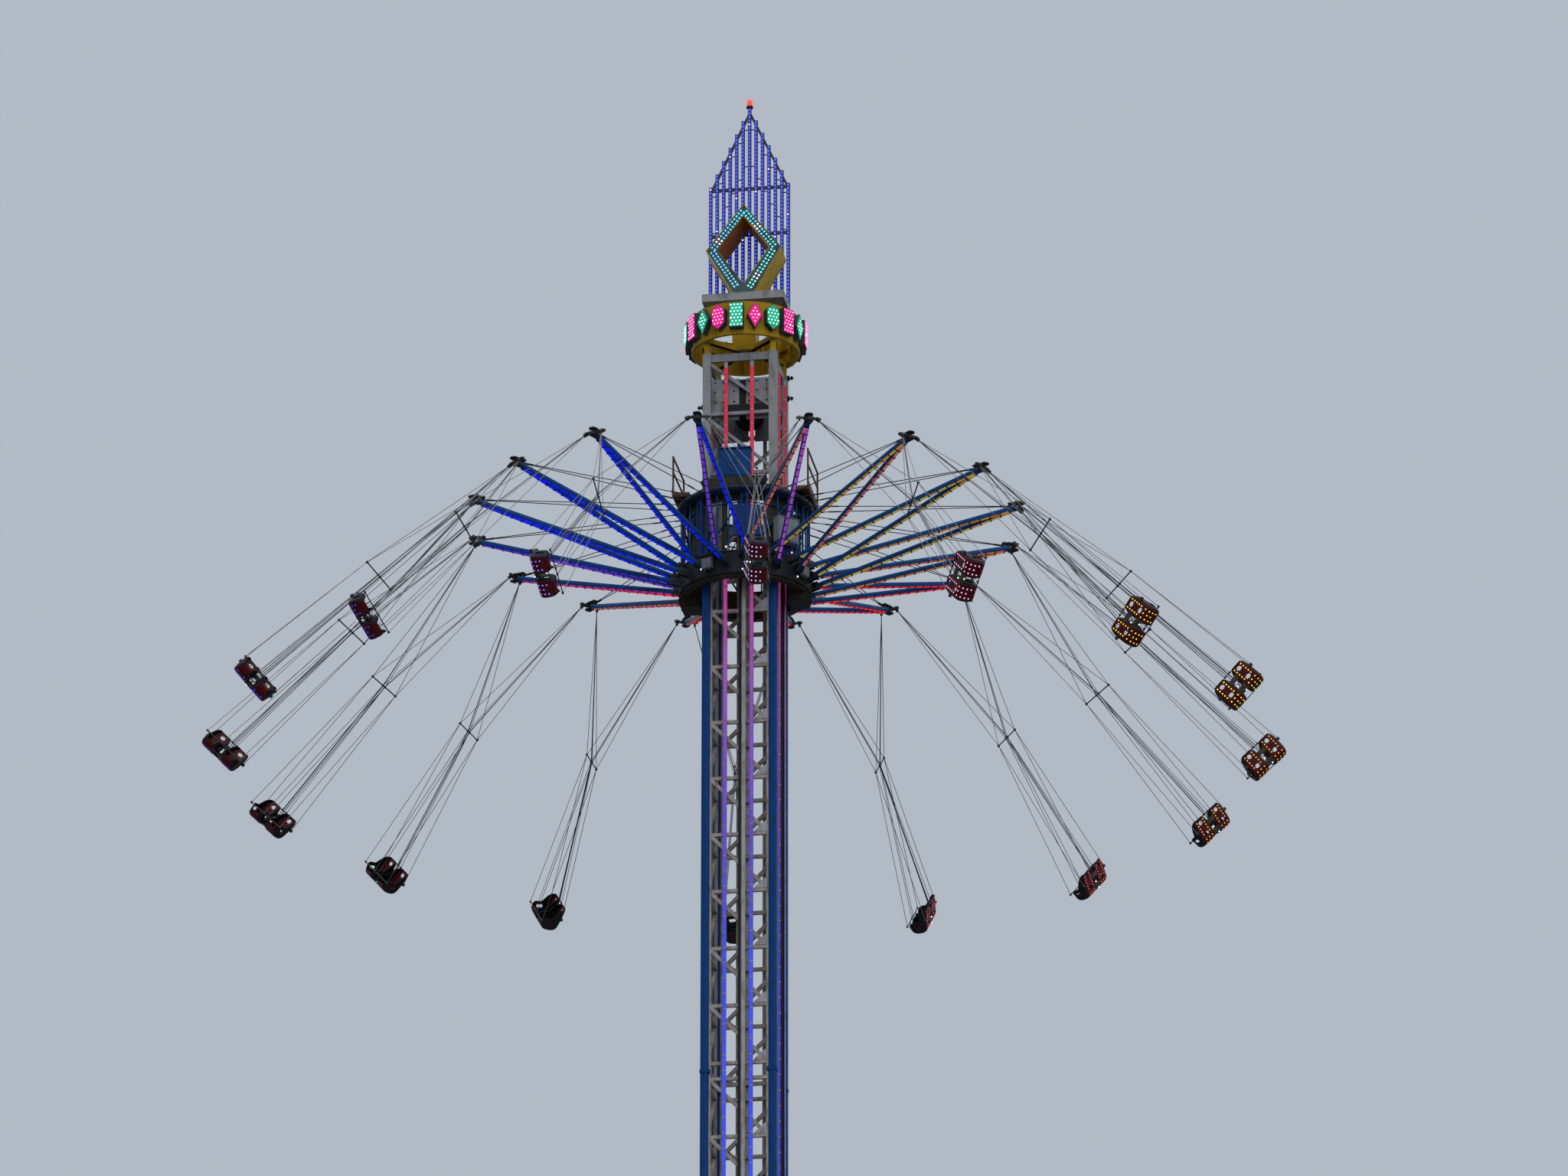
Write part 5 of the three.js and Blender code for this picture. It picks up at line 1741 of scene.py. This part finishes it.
def modified(mesh, kind, **settings):
    """A plain mesh after one modifier."""
    carrier = show("carrier", mesh)
    modifier = carrier.modifiers.new(kind.lower(), kind)
    for name, value in settings.items():
        setattr(modifier, name, value)
    return settled(carrier)


def open_edges(mesh):
    """The border edges of the rim and the arm openings as lists of two points; the windows have no rim."""
    bm = bmesh.new()
    bm.from_mesh(mesh)
    bmesh.ops.scale(bm, vec=[1 / METRE] * 3, verts=bm.verts)
    pairs = [[vert.co.copy() for vert in edge.verts] for edge in bm.edges if edge.is_boundary]
    bm.free()
    low, high = WINDOW_SPAN_Z
    return [pair for pair in pairs
            if abs(pair[0].x - TUB_MIDDLE) > WINDOW_HALF_X or not low < pair[0].z + SEAT_DROP < high]


def chained(pairs):
    """Joins border edges that share ends into one mesh of lines."""
    places = {}
    edges = []
    for pair in pairs:
        edges.append([places.setdefault(tuple(round(c * METRE, 7) for c in p), len(places)) for p in pair])
    mesh = bpy.data.meshes.new("rims")
    mesh.from_pydata(list(places), edges, [])
    return mesh


tub_skin = modified(mesh_of("tub_skin", tub), "SUBSURF", levels=1, render_levels=1)
rim_mesh_one = grow("tub_rims", RODS, chained(open_edges(tub_skin)), None, Radius=RIM_RADIUS, Sides=6)
tub_mesh = modified(tub_skin, "SOLIDIFY", thickness=TUB_WALL * METRE, offset=0.0)


def along_shell(run):
    """The point of the tub's outside at a distance down from the top of the back, and the way it faces."""
    points = [Vector((y, z)) for y, z in SHELL_CURVE]
    for a, b in zip(points, points[1:]):
        length = (b - a).length
        if run <= length:
            break
        run -= length
    way = (b - a).normalized()
    return a + way * min(run, length), Vector((way.y, -way.x))


def seat_point(x, y, z):
    """A place in the seat's own frame, with z from the seat's middle."""
    return Vector((x, y, z - SEAT_DROP))


def on_shell(x, run, proud=0.0):
    """The place at x and at a distance down the shell."""
    point, way = along_shell(run)
    point += way * proud
    return seat_point(x, point.x, point.y)


def both_tubs(bm, mesh):
    """Copies of a finished mesh of one tub, as it is and mirrored, back in real metres."""
    for turn in (Matrix.Identity(4), Matrix.Scale(-1, 4, (1, 0, 0))):
        copy = mesh.copy()
        copy.transform(turn @ Matrix.Scale(1 / METRE, 4))
        bm.from_mesh(copy)
        bpy.data.meshes.remove(copy)


def straps(bm):
    for first, last in STRAPS:
        beam(bm, on_shell(0, first), on_shell(0, last), rectangle(0.035, 0.3), up=(1, 0, 0))


def bars_and_lugs(bm):
    """The thin bars that join the tubs, the lap bar, the cables' lugs and a latch on each outer wing."""
    rod(bm, on_shell(-0.2, 0.01), on_shell(0.2, 0.01), 0.015, 6)
    rod(bm, on_shell(-0.2, 1.12), on_shell(0.2, 1.12), THIN_BAR, 6)
    for side in (-1, 1):
        rod(bm, on_shell(0.1 * side, 0.3), on_shell(-0.07 * side, 0.56), THIN_BAR, 6)
        rod(bm, seat_point(side * LAP_BAR_X, *FRONT_LUG), seat_point(0, *FRONT_LUG), LAP_BAR)
        centre = side * TUB_MIDDLE
        rod(bm, seat_point(centre, *FRONT_LUG), seat_point(centre, 0.21, -0.17), THIN_BAR, 6)
        for x, rear in REAR_LUGS.items():
            for y, z in (rear, FRONT_LUG):
                spot = seat_point(side * x, y, z)
                rod(bm, spot - LUG_HALF, spot + LUG_HALF, 0.03)
        low, high = sorted((side * 0.6, side * 0.7))
        soft_box(bm, seat_point(low, -0.37, 0.06), seat_point(high, -0.3, 0.15), 0.012)


def white_balls(bm):
    """The two white lamps on the straps."""
    for x, run in STRAP_LAMPS:
        spot = Matrix.Translation(on_shell(x, run, 0.025))
        bmesh.ops.create_uvsphere(bm, u_segments=8, v_segments=6, radius=0.024, matrix=spot)


def seat_body(bm):
    """Both tubs with rims, the straps and thin bars that join them, the lap bar, and the cables' lugs."""
    both_tubs(bm, tub_mesh)
    in_slot(bm, 2, lambda bm: both_tubs(bm, rim_mesh_one))
    in_slot(bm, 3, straps)
    in_slot(bm, 4, bars_and_lugs)
    in_slot(bm, 5, white_balls)


def knots():
    """The four balls on the spreader rod."""
    spread = (-SPREADER_HALF, -SPREADER_INNER, SPREADER_INNER, SPREADER_HALF)
    return [Vector((x, 0, -SPREADER_DROP)) for x in spread]


def rigging(bm):
    """The spreader rod with its balls, the eyes on the pins and the shackles, hanging on taut wires."""
    ends = knots()
    rod(bm, ends[0], ends[3], 0.02)
    for knot in ends:
        place = Matrix.Translation(knot)
        bmesh.ops.create_uvsphere(bm, u_segments=10, v_segments=7, radius=BALL_RADIUS, matrix=place)
    ring = [(0.04, -0.03), (0.064, -0.03), (0.064, 0.03), (0.04, 0.03)]
    for y in (-EYE_Y, EYE_Y):
        turned(bm, ring, 12, facing((0, y, -0.004), (0, 1, 0)), closed=True)
        soft_box(bm, (-0.05, y - 0.028, EYE_Z - 0.03), (0.05, y + 0.028, EYE_Z + 0.05), 0.008)


def wires():
    """Every wire as a straight line: from each eye to each ball, and two from each ball to its tub."""
    lines = []
    for knot in knots():
        for side in (-1, 1):
            lines.append([Vector((0, side * EYE_Y, EYE_Z)), knot])
    for knot in knots():
        x, rear = list(REAR_LUGS.items())[0 if abs(knot.x) > SPREADER_HALF / 2 else 1]
        x = math.copysign(x, knot.x)
        lines.append([knot, seat_point(x, *rear)])
        lines.append([knot, seat_point(x, *FRONT_LUG)])
    return lines


def safety_wires():
    """A heavier taut wire from each eye over an inner ball to the upper strap between the tubs."""
    panel = on_shell(0, 0.25)
    return [[Vector((0.01 * side, side * EYE_Y, EYE_Z)), Vector((0.03 * side, 0, -SPREADER_DROP)),
             panel + Vector((0.03 * side, 0, 0))] for side in (-1, 1)]


def seat_bulbs():
    """Places of the bulbs up the backs and under the seats of both tubs."""
    places = []
    for side in (-1, 1):
        middle = side * TUB_MIDDLE
        for rows, pitch in ((BACK_BULB_ROWS, BACK_BULB_PITCH), (UNDER_BULB_ROWS, UNDER_BULB_PITCH)):
            for x, start, k in ((x, start, k) for x, start, count in rows for k in range(count)):
                point, way = along_shell(start + k * pitch)
                out = Vector((0, way.x, way.y))
                spot = Vector((middle + x, point.x, point.y - SEAT_DROP)) + out * TUB_WALL * 0.5
                places.append(facing(spot, out))
    return places


def seat_plastic(name, colour, dull, roughness, coat):
    """Moulded plastic: scuffed in patches, glossy where it isn't."""
    graph, place = new_finish(name)
    scuffs = graph.noise(place, 60, 5).between(0.45, 0.7)
    scratches = graph.noise(place, 300, 2, (1, 0.15, 1)).between(0.55, 0.75)
    wear = scuffs * 0.6 + scratches * 0.3
    return shade(
        graph,
        base_color=graph.mix(wear, colour, dull),
        roughness=roughness + wear * 0.3,
        specular_ior_level=SHEEN,
        coat_weight=coat,
    )


seat_red = seat_plastic("seat_red", SEAT_RED, SEAT_RED_DULL, 0.42, 0.08)
wing_black = seat_plastic("wing_black", WING_BLACK, RIM_BLACK, 0.42, 0.08)
rim_black = seat_plastic("rim_black", RIM_BLACK, WING_BLACK, 0.55, 0.0)
panel_olive = seat_plastic("panel_olive", PANEL_OLIVE, RIM_BLACK, 0.5, 0.0)
cable_grey = painted_steel("cable_grey", CABLE_GREY, DARK_GRIME, 0.4, 0.6)
seat_mesh = mesh_of("seat_body", seat_body)
rigging_mesh = mesh_of("seat_rigging", rigging)
wire_mesh = grow("seat_wires", RODS, runs(wires()), cable_grey, Radius=CABLE_RADIUS, Sides=5)
safety_mesh = grow("seat_safety_wires", RODS, runs(safety_wires()), tip_grey, Radius=SAFETY_RADIUS, Sides=5)
bulb_spots = seat_bulbs()
bulb_mesh = grow_shapes("seat_lamps", lambda bm: bulb_shape(bm, SEAT_BULB_RADIUS, SEAT_BULB_RISE),
                        bulb_spots, bulb_lamp, [(1, 1, 1, 1)] * len(bulb_spots))


def seat_place(n):
    """The place of double seat n: on the line between two arm tips, swung out."""
    pivot = polar(TIP_RADIUS * math.cos(math.radians(ARM_STEP / 2)), arm_angle(n) + ARM_STEP / 2, TIP_Z)
    swing = Matrix.Rotation(math.radians(-SEAT_SWING), 4, "Y")
    return Matrix.Translation(pivot * METRE) @ about_axis(arm_angle(n) + ARM_STEP / 2) @ swing


seat_parts = {
    "body": (seat_mesh, [seat_red, wing_black, rim_black, panel_olive, tip_grey, white_lamp]),
    "rigging": (rigging_mesh, [tip_grey]),
    "wires": (wire_mesh, []),
    "safety_wires": (safety_mesh, []),
    "lamps": (bulb_mesh, []),
}
for n in range(ARMS):
    label = f"seat_{n + 1:02d}"
    body = f"seat_unit_{n + 1:02d}"
    for part, (mesh, materials) in seat_parts.items():
        copy = mesh.copy()
        copy.transform(seat_place(n))
        piece = show(f"{label}_{part}", copy)
        for material in materials:
            copy.materials.append(material)
        if part == "body":
            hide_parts(label)
        if part == "lamps":
            glow = SEAT_LIGHTS[SEAT_COLOURS[n]]
            values = copy.attributes["glow"].data
            values.foreach_set("color", list(glow) * len(values))
        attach(piece, body)
